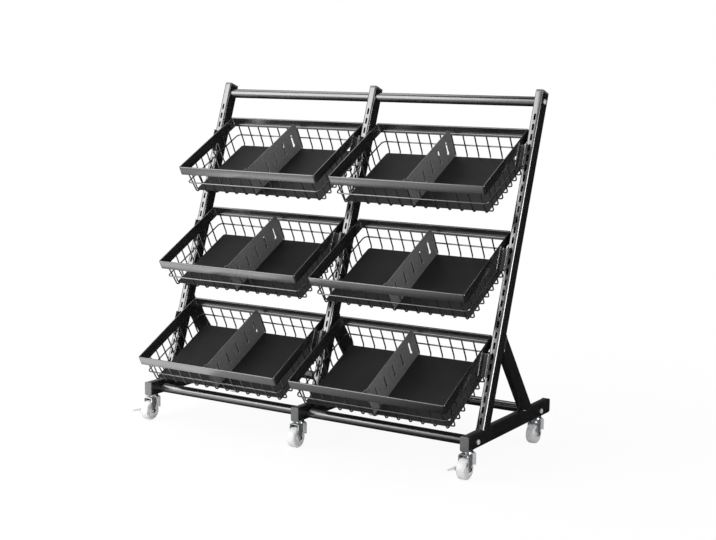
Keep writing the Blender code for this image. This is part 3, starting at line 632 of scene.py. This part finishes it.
def make_moulded_plastic(name, first, second, roughness):
    """Pale moulded plastic with faint flow marks and a fine mould grain."""
    material, tree, shader, coordinates = shader_nodes(name)
    flow = noise(tree, coordinates, MOULD_FLOW_SCALE)
    grain = noise(tree, coordinates, MOULD_GRAIN_SCALE, FINE_DETAIL)
    painted(tree, shader, spread(tree, flow), first, second)
    roughened(tree, shader, flow, *roughness)
    bumped(tree, shader, grain, *MOULD_GRAIN_RELIEF)
    return material


def filleted(points, radii, steps=6, closed=False):
    """Row of points with its corners rounded, each by its own radius."""
    count = len(points)
    path = []
    for i, (corner, radius) in enumerate(zip(points, radii)):
        if radius == 0 or (not closed and i in (0, count - 1)):
            path.append(corner)
            continue
        back = (points[i - 1] - corner).normalized()
        ahead = (points[(i + 1) % count] - corner).normalized()
        half = back.angle(ahead) / 2
        reach = radius / math.tan(half)
        centre = corner + (back + ahead).normalized() * (radius / math.sin(half))
        start = corner + back * reach - centre
        end = corner + ahead * reach - centre
        turn = start.angle(end)
        for step in range(steps + 1):
            share = step / steps
            a = math.sin((1 - share) * turn) / math.sin(turn)
            b = math.sin(share * turn) / math.sin(turn)
            path.append(centre + a * start + b * end)
    return path


def side_outline(points):
    """Closed outline in the YZ plane, from (y, z, corner radius) points."""
    corners = [Vector((0, y, z)) for y, z, radius in points]
    return filleted(corners, [radius for y, z, radius in points], closed=True)


def plate_mesh(outline, start, end, name):
    """Plate with its outline in the YZ plane, from one x to another."""
    return ring_mesh([[p + x * X_AXIS for p in outline] for x in (start, end)], name)


def fork_mesh(axle):
    """Stamped fork in the caster's frame: the legs in front, and the stepped-out crown behind."""
    def arch(y, half, roof, bend):
        corners = ((half, 0), (half, roof), (-half, roof), (-half, 0))
        return filleted([Vector((x, y, z)) for x, z in corners], (0, bend, bend, 0))

    def section(y, half):
        inside = arch(y, FORK_SHEET - half, FORK_ROOF - FORK_SHEET, FORK_BEND - FORK_SHEET)
        return arch(y, half, FORK_ROOF, FORK_BEND) + inside

    narrow = FORK_WIDTH / 2
    wide = narrow + FORK_STEP
    stations = (
        (2 * FORK_FRONT, narrow), (FORK_STEP_START, narrow), (FORK_STEP_END, wide),
        (FORK_FOLD_START, wide), (FORK_BACK, wide - FORK_FOLD), (2 * FORK_BACK, wide - FORK_FOLD),
    )
    rings = [section(y, half) for y, half in stations]
    seam = FORK_STEP_START - TOUCH_GAP
    over = 2 * FORK_ROOF
    legs = (
        (FORK_FRONT, over, 0), (FORK_FRONT, FORK_SKIRT_FRONT, 0.006),
        (axle.y - FORK_BOSS, axle.z + FORK_BOSS, 0.004),
        (axle.y - FORK_BOSS, axle.z - FORK_BOSS, FORK_BOSS_ROUND),
        (axle.y + FORK_BOSS, axle.z - FORK_BOSS, FORK_BOSS_ROUND),
        (axle.y + FORK_WAIST[0], axle.z + FORK_WAIST[1], 0.003),
        (seam, axle.z + FORK_SEAM_RISE, 0), (seam, over, 0),
    )
    crown = (
        (FORK_STEP_START, over, 0), (FORK_STEP_START, axle.z + FORK_CROWN_RISE, 0),
        (FORK_HEEL.y, FORK_HEEL.z, 0.004), (FORK_BACK, FORK_SKIRT_BACK, 0.010), (FORK_BACK, over, 0),
    )
    halves = []
    for points in (legs, crown):
        trim = plate_mesh(side_outline(points), -2 * wide, 2 * wide, "trim")
        halves.append(combined(ring_mesh(rings, "fork"), trim, "INTERSECT"))
    return halves


def wheel_mesh(radius, width):
    """Moulded wheel on its axle: a hub, dished discs, a groove and a tread with round shoulders."""
    half = width / 2
    side = [(r, half - inset) for r, inset in WHEEL_FACE]
    side += [(radius, half - WHEEL_SHOULDER), (radius, 0.0)]
    profile = side + [(r, -x) for r, x in reversed(side[:-1])]
    return turned_mesh(profile, X_AXIS, WHEEL_SIDES, "wheel", closed_row=True)


def axle_mesh(pedal_side):
    """Axle bolt through the fork's legs: a hex nut at each end, or a plain pin on the side of a pedal."""
    half = FORK_WIDTH / 2
    chamfer, bevel = AXLE_NUT_CHAMFER
    nut = (
        (hexagon, half + AXLE_NUT_HEIGHT, AXLE_NUT - chamfer),
        (hexagon, half + AXLE_NUT_HEIGHT - bevel, AXLE_NUT),
        (hexagon, half + TOUCH_GAP, AXLE_NUT),
        (circle, half + TOUCH_GAP, AXLE_RADIUS),
    )
    tip, shoulder = AXLE_PIN_PAST
    pin = (
        (circle, PEDAL_OUTER + tip, AXLE_RADIUS - AXLE_PIN_CHAMFER),
        (circle, PEDAL_OUTER + shoulder, AXLE_RADIUS),
    )
    left = pin if pedal_side else nut
    rings = [shape(-x * X_AXIS, size, BOLT_SIDES) for shape, x, size in left]
    rings += [shape(x * X_AXIS, size, BOLT_SIDES) for shape, x, size in reversed(nut)]
    return ring_mesh(rings, "axle")


def stem_mesh(rail_underside):
    """Stem flange under the rail, and the king pin through the raceway with its riveted head."""
    profile = [(radius, rail_underside + z) for radius, z in STEM_FLANGE]
    profile += [(radius, FORK_ROOF + z) for radius, z in KING_PIN]
    return turned_mesh(profile, Z_AXIS, WHEEL_SIDES, "stem")


def raceway_mesh():
    """Pressed ball raceway, a shallow dish over and under the fork's roof."""
    profile = [(RACEWAY_BORE, FORK_ROOF + RACEWAY_TOP)]
    profile += [(RACEWAY_RADIUS - inset, FORK_ROOF + z) for inset, z in RACEWAY_DISH]
    profile.append((RACEWAY_BORE, FORK_ROOF + RACEWAY_BOTTOM))
    return turned_mesh(profile, Z_AXIS, WHEEL_SIDES, "raceway", closed_row=True)


def pedal_mesh():
    """Brake lever on the axle's left end: an eye round the pin and a thin arm out to the front."""
    rings = []
    for inset, x in ((PEDAL_EDGE, PEDAL_INNER), (0.0, PEDAL_INNER + PEDAL_EDGE),
                     (0.0, PEDAL_OUTER - PEDAL_EDGE), (PEDAL_EDGE, PEDAL_OUTER)):
        length, height = 1 - inset / PEDAL_HALF_LENGTH, 1 - inset / PEDAL_HALF_HEIGHT
        ring = []
        for point in side_outline(PEDAL_OUTLINE):
            away = point - PEDAL_MIDDLE
            ring.append(PEDAL_MIDDLE + Vector((-x, away.y * length, away.z * height)))
        rings.append(ring)
    eye = circle(Vector((0, 0, 0)), AXLE_RADIUS + TOUCH_GAP, BOLT_SIDES)
    return combined(ring_mesh(rings, "pedal"), plate_mesh(eye, PEDAL_HOLE_REACH, 0.0, "hole"), "DIFFERENCE")


def swivel_axis(name):
    """Point on the floor under a caster's swivel axis."""
    low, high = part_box(f"caster_stem_{name}")
    return Vector(((low.x + high.x) / 2, (low.y + high.y) / 2, 0))


nylon = make_moulded_plastic("wheel_nylon", NYLON, NYLON_SHADE, NYLON_ROUGHNESS)
pedal_plastic = make_moulded_plastic("pedal_plastic", PEDAL_GREY, PEDAL_GREY_DARK, PEDAL_ROUGHNESS)
wheel_low, wheel_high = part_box("caster_wheel_front_left")
axle_place = (wheel_low + wheel_high) / 2 - swivel_axis("front_left")
fork_legs, fork_crown = fork_mesh(axle_place)
wheel = wheel_mesh(axle_place.z, wheel_high.x - wheel_low.x)
axle = axle_mesh(pedal_side=False)
braked_axle = axle_mesh(pedal_side=True)
stem = stem_mesh(rail_low.z)
raceway = raceway_mesh()
pedal = pedal_mesh()
for end in CASTER_ENDS:
    for side in FRAME_SIDES:
        name = f"{end}_{side}"
        caster = f"caster_{name}"
        swivel = Matrix.Translation(swivel_axis(name))
        hub = swivel @ Matrix.Translation(axle_place)
        add_piece(f"stem_and_flange_{name}", stem, zinc, "frame", "zinc_steel", swivel,
                  [f"caster_stem_{name}"])
        add_piece(f"raceway_{name}", raceway, zinc, caster, "zinc_steel", swivel)
        add_piece(f"fork_legs_{name}", fork_legs, dull_zinc, caster, "zinc_steel", swivel,
                  [f"caster_fork_{name}"])
        add_piece(f"fork_crown_{name}", fork_crown, satin_zinc, caster, "zinc_steel", swivel)
        bolt_through = braked_axle if name in BRAKED else axle
        add_piece(f"axle_bolt_{name}", bolt_through, zinc, caster, "zinc_steel", hub)
        add_piece(f"wheel_moulding_{name}", wheel, nylon, f"wheel_{name}", "wheel_nylon", hub,
                  [f"caster_wheel_{name}"])
        if name in BRAKED:
            add_piece(f"pedal_moulding_{name}", pedal, pedal_plastic, f"pedal_{name}", "pedal_plastic", hub,
                      [f"brake_pedal_{name}"])


# Baskets
# Each is a welded cage of round wire under a rim of folded steel channel. The wires run down one wall, bend
# under the floor and rise up the opposite wall, inside one ring wire. Folded brackets hook into the uprights.
TIERS = ("low", "mid", "top")
BASKET_TILT = math.radians(28.1)
FRONT_FLARE = math.radians(8.0)
MAT_BEHIND_MIDDLE = 0.00587
RIM_HALF_WIDTH = 0.297
RIM_HALF_DEPTH = 0.18425
RIM_ABOVE_MAT = 0.1137
RIM_HEIGHT = 0.032
RIM_CORNER = 0.007
RIM_SHEET = 0.0018
RIM_TOP_FLANGE = 0.0055
RIM_LIP = 0.004
RIM_LOW_FLANGE = 0.013
RIM_TOP_EDGE = 0.0024
RIM_EDGE = 0.001
RIM_BEND_STEPS = 4
WIRE_RADIUS = 0.0025
WALL_WIRE_INSET = 0.011
RING_OUTSIDE = 0.0046
RING_DROP = 0.073
RING_CORNER = 0.016
FLOOR_WIRE_DROP = 0.1179
CROSS_WIRE_DROP = 0.1226
LONG_WIRES = 13
LONG_WIRE_REACH = 0.27
LONG_WIRE_BEND = 0.012
CROSS_WIRES = 8
CROSS_WIRE_FIRST = -0.1388
CROSS_WIRE_PITCH = 0.0375
CROSS_WIRE_BEND = 0.008
UPRIGHT_BEHIND_MIDDLE = 0.13625
BRACKET_SHEET = 0.0024
BRACKET_INSET = 0.0008
BRACKET_FRONT = -0.026
BRACKET_BOTTOM = -0.109
BRACKET_TOP = -0.032
BRACKET_BENDS = (0.0011, 0.0034, 0.0006, 0.0011, 0.0011, 0.0010, 0.0010, 0.0011)
HOOK_SEATS = (-0.0505, -0.0858)
HOOK_ROOT = 0.0005
HOOK_THROAT = 0.0018
HOOK_BACK = 0.0043
HOOK_TIP = -0.008
HOOK_TOP = 0.01


def rim_mesh():
    """Rim of folded channel: an outer web, a top flange with a turned-down lip, and a low flange."""
    def bend(centre_inset, centre_drop, radius, start, end):
        points = []
        for step in range(RIM_BEND_STEPS + 1):
            angle = math.radians(start + (end - start) * step / RIM_BEND_STEPS)
            points.append((centre_inset - radius * math.cos(angle), centre_drop - radius * math.sin(angle)))
        return points

    lip_in = RIM_TOP_FLANGE - RIM_SHEET
    low = RIM_HEIGHT - RIM_SHEET
    inside = RIM_SHEET + RIM_EDGE
    profile = bend(RIM_TOP_EDGE, RIM_TOP_EDGE, RIM_TOP_EDGE, 0, 90)
    profile += bend(RIM_TOP_FLANGE - RIM_TOP_EDGE, RIM_TOP_EDGE, RIM_TOP_EDGE, 90, 180)
    profile += [(RIM_TOP_FLANGE, RIM_LIP), (lip_in, RIM_LIP), (lip_in, RIM_SHEET), (inside, RIM_SHEET)]
    profile += [(RIM_SHEET, inside), (RIM_SHEET, low - RIM_EDGE), (inside, low)]
    profile += [(RIM_LOW_FLANGE, low), (RIM_LOW_FLANGE, RIM_HEIGHT)]
    profile += bend(RIM_EDGE, RIM_HEIGHT - RIM_EDGE, RIM_EDGE, -90, 0)
    rings = []
    for inset, drop in profile:
        corner = max(RIM_CORNER - inset, RIM_EDGE)
        z = RIM_ABOVE_MAT - drop
        rings.append(level_ring(RIM_HALF_WIDTH - inset, RIM_HALF_DEPTH - inset, corner, z, steps=6))
    return ring_mesh(rings, "rim", closed_row=True)


def cage_walls(drop):
    """Half width, front and rear of the cage along its wires' middle at a drop below the rim's top."""
    lean = (drop - RIM_HEIGHT) * math.tan(FRONT_FLARE)
    depth = RIM_HALF_DEPTH - WALL_WIRE_INSET
    return RIM_HALF_WIDTH - WALL_WIRE_INSET, lean - depth, depth


def bent_wire(bm, along_x, place, floor_drop, radius):
    """One wire from the rim down a wall, under the floor and up the opposite wall."""
    def point(first_wall, drop):
        half_x, front, rear = cage_walls(drop)
        z = RIM_ABOVE_MAT - drop
        if along_x:
            return Vector((-half_x if first_wall else half_x, place, z))
        return Vector((place, front if first_wall else rear, z))

    top = RIM_HEIGHT - TOUCH_GAP
    corners = [point(True, top), point(True, floor_drop), point(False, floor_drop), point(False, top)]
    sweep(bm, filleted(corners, (0, radius, radius, 0), steps=8), WIRE_RADIUS)


def cage_mesh():
    """All the wires of a basket: front to rear, side to side below them, and the ring."""
    bm = bmesh.new()
    for number in range(LONG_WIRES):
        place = LONG_WIRE_REACH * (2 * number / (LONG_WIRES - 1) - 1)
        bent_wire(bm, False, place, FLOOR_WIRE_DROP, LONG_WIRE_BEND)
    for number in range(CROSS_WIRES):
        bent_wire(bm, True, CROSS_WIRE_FIRST + number * CROSS_WIRE_PITCH, CROSS_WIRE_DROP, CROSS_WIRE_BEND)
    half_x, front, rear = cage_walls(RING_DROP)
    half_y = (rear - front) / 2 + RING_OUTSIDE
    outline = rounded_rectangle(half_x + RING_OUTSIDE, half_y, RING_CORNER, steps=10)
    ring = [Vector((x, y + (front + rear) / 2, RIM_ABOVE_MAT - RING_DROP)) for x, y in outline]
    sweep(bm, ring, WIRE_RADIUS, closed=True)
    return finished_mesh(bm, "cage")


def bracket_mesh():
    """Right-hand hook bracket in the upright's frame: x from the bay's middle, y back, z up."""
    leg_x = RIM_HALF_WIDTH - BRACKET_INSET
    hook_x = (frame_x["right"] - frame_x["middle"]) / 2 - SLOT_WIDTH / 2 + TOUCH_GAP + BRACKET_SHEET
    leg_inner, hook_inner = leg_x + BRACKET_SHEET, hook_x - BRACKET_SHEET
    near = -TOUCH_GAP
    far = near - BRACKET_SHEET
    corners = [Vector((x, y, 0)) for x, y in (
        (leg_x, BRACKET_FRONT), (leg_x, near), (hook_x, near), (hook_x, BRACKET_FRONT),
        (hook_inner, BRACKET_FRONT), (hook_inner, far), (leg_inner, far), (leg_inner, BRACKET_FRONT))]
    section = filleted(corners, BRACKET_BENDS, closed=True)
    mesh = ring_mesh([[p + z * Z_AXIS for p in section] for z in (BRACKET_BOTTOM, BRACKET_TOP)], "bracket")
    for seat in HOOK_SEATS:
        hook = side_outline((
            (far + HOOK_ROOT, seat, 0), (HOOK_THROAT, seat, 0.0008), (HOOK_THROAT, seat + HOOK_TIP, 0.0010),
            (HOOK_BACK, seat + HOOK_TIP, 0.0010), (HOOK_BACK, seat + HOOK_TOP, 0.0025),
            (far + HOOK_ROOT, seat + HOOK_TOP, 0)))
        mesh = combined(mesh, plate_mesh(hook, hook_inner, hook_x, "hook"), "UNION")
    return mesh


rim = rim_mesh()
cage = cage_mesh()
bracket_right = bracket_mesh()
bracket_left = bracket_right.copy()
bracket_left.transform(Matrix.Scale(-1, 4, X_AXIS))
bracket_left.flip_normals()
basket_place = {}
for tier in TIERS:
    for bay in BAYS:
        name = f"{tier}_{bay}"
        low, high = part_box(f"mat_{name}")
        tilted = Matrix.Translation((low + high) / 2) @ Matrix.Rotation(BASKET_TILT, 4, "X")
        tilted = tilted @ Matrix.Translation((0, -MAT_BEHIND_MIDDLE, 0))
        basket_place[name] = tilted
        hang = tilted @ Vector((0, UPRIGHT_BEHIND_MIDDLE, RIM_ABOVE_MAT))
        leaning = Matrix.Translation(hang) @ Matrix.Rotation(-UPRIGHT_LEAN, 4, "X")
        coat = (powder_coat, f"basket_{name}", "black_powder_coat")
        add_piece(f"rim_channel_{name}", rim, *coat, tilted, [f"basket_{name}"])
        add_piece(f"wire_cage_{name}", cage, *coat, tilted)
        add_piece(f"hook_bracket_right_{name}", bracket_right, *coat, leaning)
        add_piece(f"hook_bracket_left_{name}", bracket_left, *coat, leaning)


# Floor mats
# A loose sheet of matte black plastic lies on the floor wires of each basket, with rounded corners and a
# fine pebbled face that keeps fruit from rolling.
MAT_THICKNESS = 0.003
MAT_HALF_WIDTH = 0.2775
MAT_HALF_DEPTH = 0.1595
MAT_CORNER = 0.01
MAT_EDGE = 0.0008
MAT_BLACK = (0.012, 0.012, 0.013)
MAT_WORN = (0.018, 0.018, 0.019)
MAT_ROUGHNESS = (0.62, 0.74)
MAT_SPECULAR = 0.3
MAT_RUBBED_SCALE = 7.0
MAT_PEBBLE_SCALE = 420.0
MAT_PEBBLE_RELIEF = (0.15, 0.0004)


def make_mat_plastic():
    """Matte black plastic sheet with a pebbled face, a little paler where goods have rubbed it."""
    material, tree, shader, coordinates = shader_nodes("mat_plastic")
    rubbed = noise(tree, coordinates, MAT_RUBBED_SCALE)
    pebble = tree.nodes.new("ShaderNodeTexVoronoi")
    pebble.inputs["Scale"].default_value = MAT_PEBBLE_SCALE
    tree.links.new(coordinates, pebble.inputs["Vector"])
    painted(tree, shader, spread(tree, rubbed), MAT_BLACK, MAT_WORN)
    roughened(tree, shader, rubbed, *MAT_ROUGHNESS)
    shader.inputs["Specular IOR Level"].default_value = MAT_SPECULAR
    bumped(tree, shader, pebble.outputs["Distance"], *MAT_PEBBLE_RELIEF)
    return material


def mat_mesh():
    """Sheet with rounded corners and softened edges, centred on the origin."""
    rings = []
    half = MAT_THICKNESS / 2
    for inset, z in ((MAT_EDGE, -half), (0, MAT_EDGE - half), (0, half - MAT_EDGE), (MAT_EDGE, half)):
        sizes = (size - inset for size in (MAT_HALF_WIDTH, MAT_HALF_DEPTH, MAT_CORNER))
        rings.append(level_ring(*sizes, z, steps=10))
    return ring_mesh(rings, "mat")


mat_plastic = make_mat_plastic()
mat = mat_mesh()
for name, place in basket_place.items():
    middle = place @ Matrix.Translation((0, MAT_BEHIND_MIDDLE, 0))
    add_piece(f"floor_mat_{name}", mat, mat_plastic, f"basket_{name}", "mat", middle, [f"mat_{name}"])


# Dividers
# A slotted sheet-steel plate stands across the middle of each basket. It hooks over the front of the rim, so
# that it can be slid along, and its rear corner is cut off to clear the rim. Its coat is flatter and greyer.
DIVIDER_SHEET = 0.0014
DIVIDER_FRONT_FOOT = 0.158
DIVIDER_NECK = 0.169
DIVIDER_TOP_DROP = 0.004
DIVIDER_CHAMFER = 0.012
DIVIDER_HOOK = 0.0016
DIVIDER_HOOK_ROOT = 0.01
DIVIDER_SLOTS = 5
DIVIDER_SLOT_PITCH = 0.06
DIVIDER_SLOT_LENGTH = 0.05
DIVIDER_SLOT_WIDTH = 0.009
DIVIDER_KEYHOLE = 0.007
KEYHOLE_STEPS = 16
SLOT_END_STEPS = 8
DIVIDER_GREY = (0.095, 0.095, 0.096)
DIVIDER_GREY_PALE = (0.270, 0.270, 0.272)
DIVIDER_ROUGHNESS = (0.46, 0.60)
STREAK_STRETCH = (1.0, 0.12, 1.0)
STREAK_SCALE = 260.0
STREAK_DETAIL = 4.0
SPECKLE_SCALE = 240.0
SPECKLE_RELIEF = (0.20, 0.0004)


def make_divider_coat():
    """Dark grey flat coat with a streaky grain along the plate and a fine speckle."""
    material, tree, shader, coordinates = shader_nodes("divider_coat")
    stretch = tree.nodes.new("ShaderNodeMapping")
    stretch.inputs["Scale"].default_value = STREAK_STRETCH
    tree.links.new(coordinates, stretch.inputs["Vector"])
    streaks = noise(tree, stretch.outputs["Vector"], STREAK_SCALE, STREAK_DETAIL)
    speckle = noise(tree, coordinates, SPECKLE_SCALE)
    painted(tree, shader, spread(tree, speckle), DIVIDER_GREY, DIVIDER_GREY_PALE)
    roughened(tree, shader, streaks, *DIVIDER_ROUGHNESS)
    bumped(tree, shader, speckle, *SPECKLE_RELIEF)
    return material


def keyhole_outline(y, low):
    """Outline of a slot as (y, z) points: a round hole at its foot and a rounded upper end."""
    narrow = DIVIDER_SLOT_WIDTH / 2
    opening = math.asin(narrow / DIVIDER_KEYHOLE)
    points = []
    for step in range(KEYHOLE_STEPS + 1):
        angle = math.pi / 2 + opening + (2 * math.pi - 2 * opening) * step / KEYHOLE_STEPS
        points.append((y + DIVIDER_KEYHOLE * math.cos(angle), low + DIVIDER_KEYHOLE * (1 + math.sin(angle))))
    end = low + DIVIDER_SLOT_LENGTH - narrow
    for step in range(SLOT_END_STEPS + 1):
        angle = math.pi * step / SLOT_END_STEPS
        points.append((y + narrow * math.cos(angle), end + narrow * math.sin(angle)))
    return points


def divider_mesh():
    """Divider plate in the basket's frame: a hook over the front rim and a row of keyhole slots."""
    floor = MAT_THICKNESS / 2 + TOUCH_GAP
    top = RIM_ABOVE_MAT - DIVIDER_TOP_DROP
    rim_top = RIM_ABOVE_MAT + TOUCH_GAP
    hook_end = RIM_HALF_DEPTH - RIM_TOP_EDGE
    outline = (
        (DIVIDER_NECK, floor, 0.004), (DIVIDER_NECK, top - DIVIDER_CHAMFER, 0.004),
        (DIVIDER_NECK - DIVIDER_CHAMFER, top, 0.004), (DIVIDER_HOOK_ROOT - DIVIDER_NECK, top, 0.004),
        (-DIVIDER_NECK, rim_top + DIVIDER_HOOK, 0.003), (-hook_end, rim_top + DIVIDER_HOOK, 0.0007),
        (-hook_end, rim_top, 0.0004), (-DIVIDER_NECK, rim_top, 0.0004),
        (-DIVIDER_NECK, RIM_ABOVE_MAT - RIM_HEIGHT, 0.010), (-DIVIDER_FRONT_FOOT, floor, 0.004),
    )
    plate = plate_mesh(side_outline(outline), -DIVIDER_SHEET / 2, DIVIDER_SHEET / 2, "divider")
    bm = bmesh.new()
    middle = (floor + top) / 2
    for number in range(DIVIDER_SLOTS):
        y = MAT_BEHIND_MIDDLE + (number - (DIVIDER_SLOTS - 1) / 2) * DIVIDER_SLOT_PITCH
        keyhole = keyhole_outline(y, middle - DIVIDER_SLOT_LENGTH / 2)
        skin_rings(bm, [[Vector((x, p, z)) for p, z in keyhole] for x in (-DIVIDER_SHEET, DIVIDER_SHEET)])
    return combined(plate, finished_mesh(bm, "keyholes"), "DIFFERENCE")


divider_coat = make_divider_coat()
divider = divider_mesh()
for name, place in basket_place.items():
    add_piece(f"divider_plate_{name}", divider, divider_coat, f"divider_{name}", "black_powder_coat", place,
              [f"divider_{name}"])


# Studio
# A plain floor that the camera sees as white, a camera to the right of the front, and four softboxes: a tall
# one to the left of the front, a low one on the floor, one overhead, and a narrow one to the right. The last
# acts on reflections only. Reflections see the floor and the walls as white on the left of the front alone.
FLOOR_RADIUS = 60.0
FLOOR_SIDES = 96
FLOOR_ROUGHNESS = 0.9
FLOOR_WHITE = 0.9
FLOOR_GLOW = (0.92, 1.0)
FLOOR_GLOW_REACH = (1.2, 2.5)
FLOOR_SIDE = (0.85, 0.53, 0.0)
FLOOR_SWEEP = (-0.55, 0.25)
FLOOR_DEPTH_SWEEP = (-0.42, -0.20)
WALL_SIDE = (0.75, 0.66, 0.0)
WALL_SWEEP = (-0.6, 0.35)
CEILING_SWEEP = (0.52, 0.72)
WORLD_GREY = 0.8
SOFTBOXES = {
    "key_softbox": ((-2.25, -2.45, 2.1), (0.0, 0.0, 0.6), (2.6, 3.4), 110.0),
    "floor_softbox": ((-0.9, -0.50, 0.03), (-0.9, -0.50, 1.0), (0.9, 0.3), 1.2),
    "top_softbox": ((-1.2, 0.6, 2.9), (0.0, 0.0, 0.6), (1.8, 1.4), 18.0),
    "edge_softbox": ((2.9, -1.3, 1.2), (0.0, 0.0, 0.6), (1.3, 2.2), 115.0),
}
GLOSS_ONLY = ("edge_softbox",)
CAMERA_PLACE = Vector((2.5546, -3.9718, 1.2885))
CAMERA_AZIMUTH = math.radians(31.8955)
CAMERA_ELEVATION = math.radians(8.4947)
CAMERA_ROLL = math.radians(0.7843)
CAMERA_LENS = 68.235
CAMERA_SENSOR = 36.0


def joined(tree, operation, first, second):
    """Two values made into one by an operation, such as the larger of them or their product."""
    node = tree.nodes.new("ShaderNodeMath")
    node.operation = operation
    tree.links.new(first, node.inputs[0])
    tree.links.new(second, node.inputs[1])
    return node.outputs[0]


def falling(tree, coordinates, side, start, end):
    """1 up to a start along a direction, falling to 0 at an end."""
    dot = tree.nodes.new("ShaderNodeVectorMath")
    dot.operation = "DOT_PRODUCT"
    dot.inputs[1].default_value = side
    tree.links.new(coordinates, dot.inputs[0])
    return spread(tree, dot.outputs["Value"], 1.0, 0.0, start, end)


def seen_white(tree, lit, white, sweep, glow, output):
    """Lit surface that the camera sees as white, as reflections do on the white side of the studio."""
    path = tree.nodes.new("ShaderNodeLightPath")
    reflected = joined(tree, "MAXIMUM", path.outputs["Is Glossy Ray"], path.outputs["Is Transmission Ray"])
    tree.links.new(joined(tree, "MAXIMUM", path.outputs["Is Camera Ray"], sweep), white.inputs["Strength"])
    direct = path.outputs["Is Camera Ray"]
    if glow is not None:
        direct = joined(tree, "MULTIPLY", direct, glow)
    mix = tree.nodes.new("ShaderNodeMixShader")
    tree.links.new(joined(tree, "MAXIMUM", direct, reflected), mix.inputs[0])
    tree.links.new(lit, mix.inputs[1])
    tree.links.new(white.outputs[0], mix.inputs[2])
    tree.links.new(mix.outputs[0], output.inputs["Surface"])


def make_floor():
    """Matte white floor that glows a little for the camera, so that only a faint shadow is left on it."""
    material, tree, shader, coordinates = shader_nodes("studio_floor")
    shader.inputs["Base Color"].default_value = (FLOOR_WHITE, FLOOR_WHITE, FLOOR_WHITE, 1.0)
    shader.inputs["Roughness"].default_value = FLOOR_ROUGHNESS
    shader.inputs["Specular IOR Level"].default_value = 0.0
    white = tree.nodes.new("ShaderNodeEmission")
    sideways = falling(tree, coordinates, FLOOR_SIDE, *FLOOR_SWEEP)
    sweep_factor = joined(tree, "MULTIPLY", sideways, falling(tree, coordinates, Y_AXIS, *FLOOR_DEPTH_SWEEP))
    distance = tree.nodes.new("ShaderNodeVectorMath")
    distance.operation = "LENGTH"
    tree.links.new(coordinates, distance.inputs[0])
    glow = spread(tree, distance.outputs["Value"], *FLOOR_GLOW, *FLOOR_GLOW_REACH)
    seen_white(tree, shader.outputs[0], white, sweep_factor, glow, tree.nodes["Material Output"])
    return material


def make_world():
    """Grey studio walls that light the rack softly, seen as plain white by the camera."""
    world = bpy.data.worlds.new("studio")
    world.use_nodes = True
    tree = world.node_tree
    walls = tree.nodes["Background"]
    walls.inputs["Color"].default_value = (WORLD_GREY, WORLD_GREY, WORLD_GREY, 1.0)
    white = tree.nodes.new("ShaderNodeBackground")
    white.inputs["Color"].default_value = (1.0, 1.0, 1.0, 1.0)
    coordinates = tree.nodes.new("ShaderNodeTexCoord").outputs["Generated"]
    sideways = falling(tree, coordinates, WALL_SIDE, *WALL_SWEEP)
    sweep_factor = joined(tree, "MULTIPLY", sideways, falling(tree, coordinates, Z_AXIS, *CEILING_SWEEP))
    seen_white(tree, walls.outputs[0], white, sweep_factor, None, tree.nodes["World Output"])
    return world


def add_softbox(name, place, target, size, power):
    """Rectangular area lamp that faces a point."""
    lamp = bpy.data.lights.new(name, "AREA")
    lamp.shape = "RECTANGLE"
    lamp.size, lamp.size_y = size
    lamp.energy = power
    obj = bpy.data.objects.new(name, lamp)
    bpy.context.scene.collection.objects.link(obj)
    obj.location = place
    obj.rotation_euler = (target - place).to_track_quat("-Z", "Y").to_euler()
    obj.visible_camera = False
    obj.visible_diffuse = name not in GLOSS_ONLY


def add_camera():
    """Camera from its place, its two angles and its slight roll."""
    back = Vector((
        math.sin(CAMERA_AZIMUTH) * math.cos(CAMERA_ELEVATION),
        -math.cos(CAMERA_AZIMUTH) * math.cos(CAMERA_ELEVATION),
        math.sin(CAMERA_ELEVATION)))
    level = Z_AXIS.cross(back).normalized()
    upward = back.cross(level)
    right = math.cos(CAMERA_ROLL) * level + math.sin(CAMERA_ROLL) * upward
    up = back.cross(right)
    lens = bpy.data.cameras.new("camera")
    lens.lens = CAMERA_LENS
    lens.sensor_width = CAMERA_SENSOR
    lens.clip_end = 2 * FLOOR_RADIUS
    obj = bpy.data.objects.new("camera", lens)
    bpy.context.scene.collection.objects.link(obj)
    axes = Matrix((right, up, back)).transposed()
    obj.matrix_world = Matrix.Translation(CAMERA_PLACE) @ axes.to_4x4()
    bpy.context.scene.camera = obj


floor_mesh = bpy.data.meshes.new("floor")
floor_rim = circle(Vector((0, 0, 0)), FLOOR_RADIUS, FLOOR_SIDES, X_AXIS, Y_AXIS)
floor_mesh.from_pydata(floor_rim, [], [list(range(len(floor_rim)))])
floor_mesh.materials.append(make_floor())
floor = bpy.data.objects.new("floor", floor_mesh)
bpy.context.scene.collection.objects.link(floor)

bpy.context.scene.world = make_world()
for name, (place, target, size, power) in SOFTBOXES.items():
    add_softbox(name, Vector(place), Vector(target), size, power)
add_camera()
bpy.context.scene.view_settings.view_transform = "Standard"
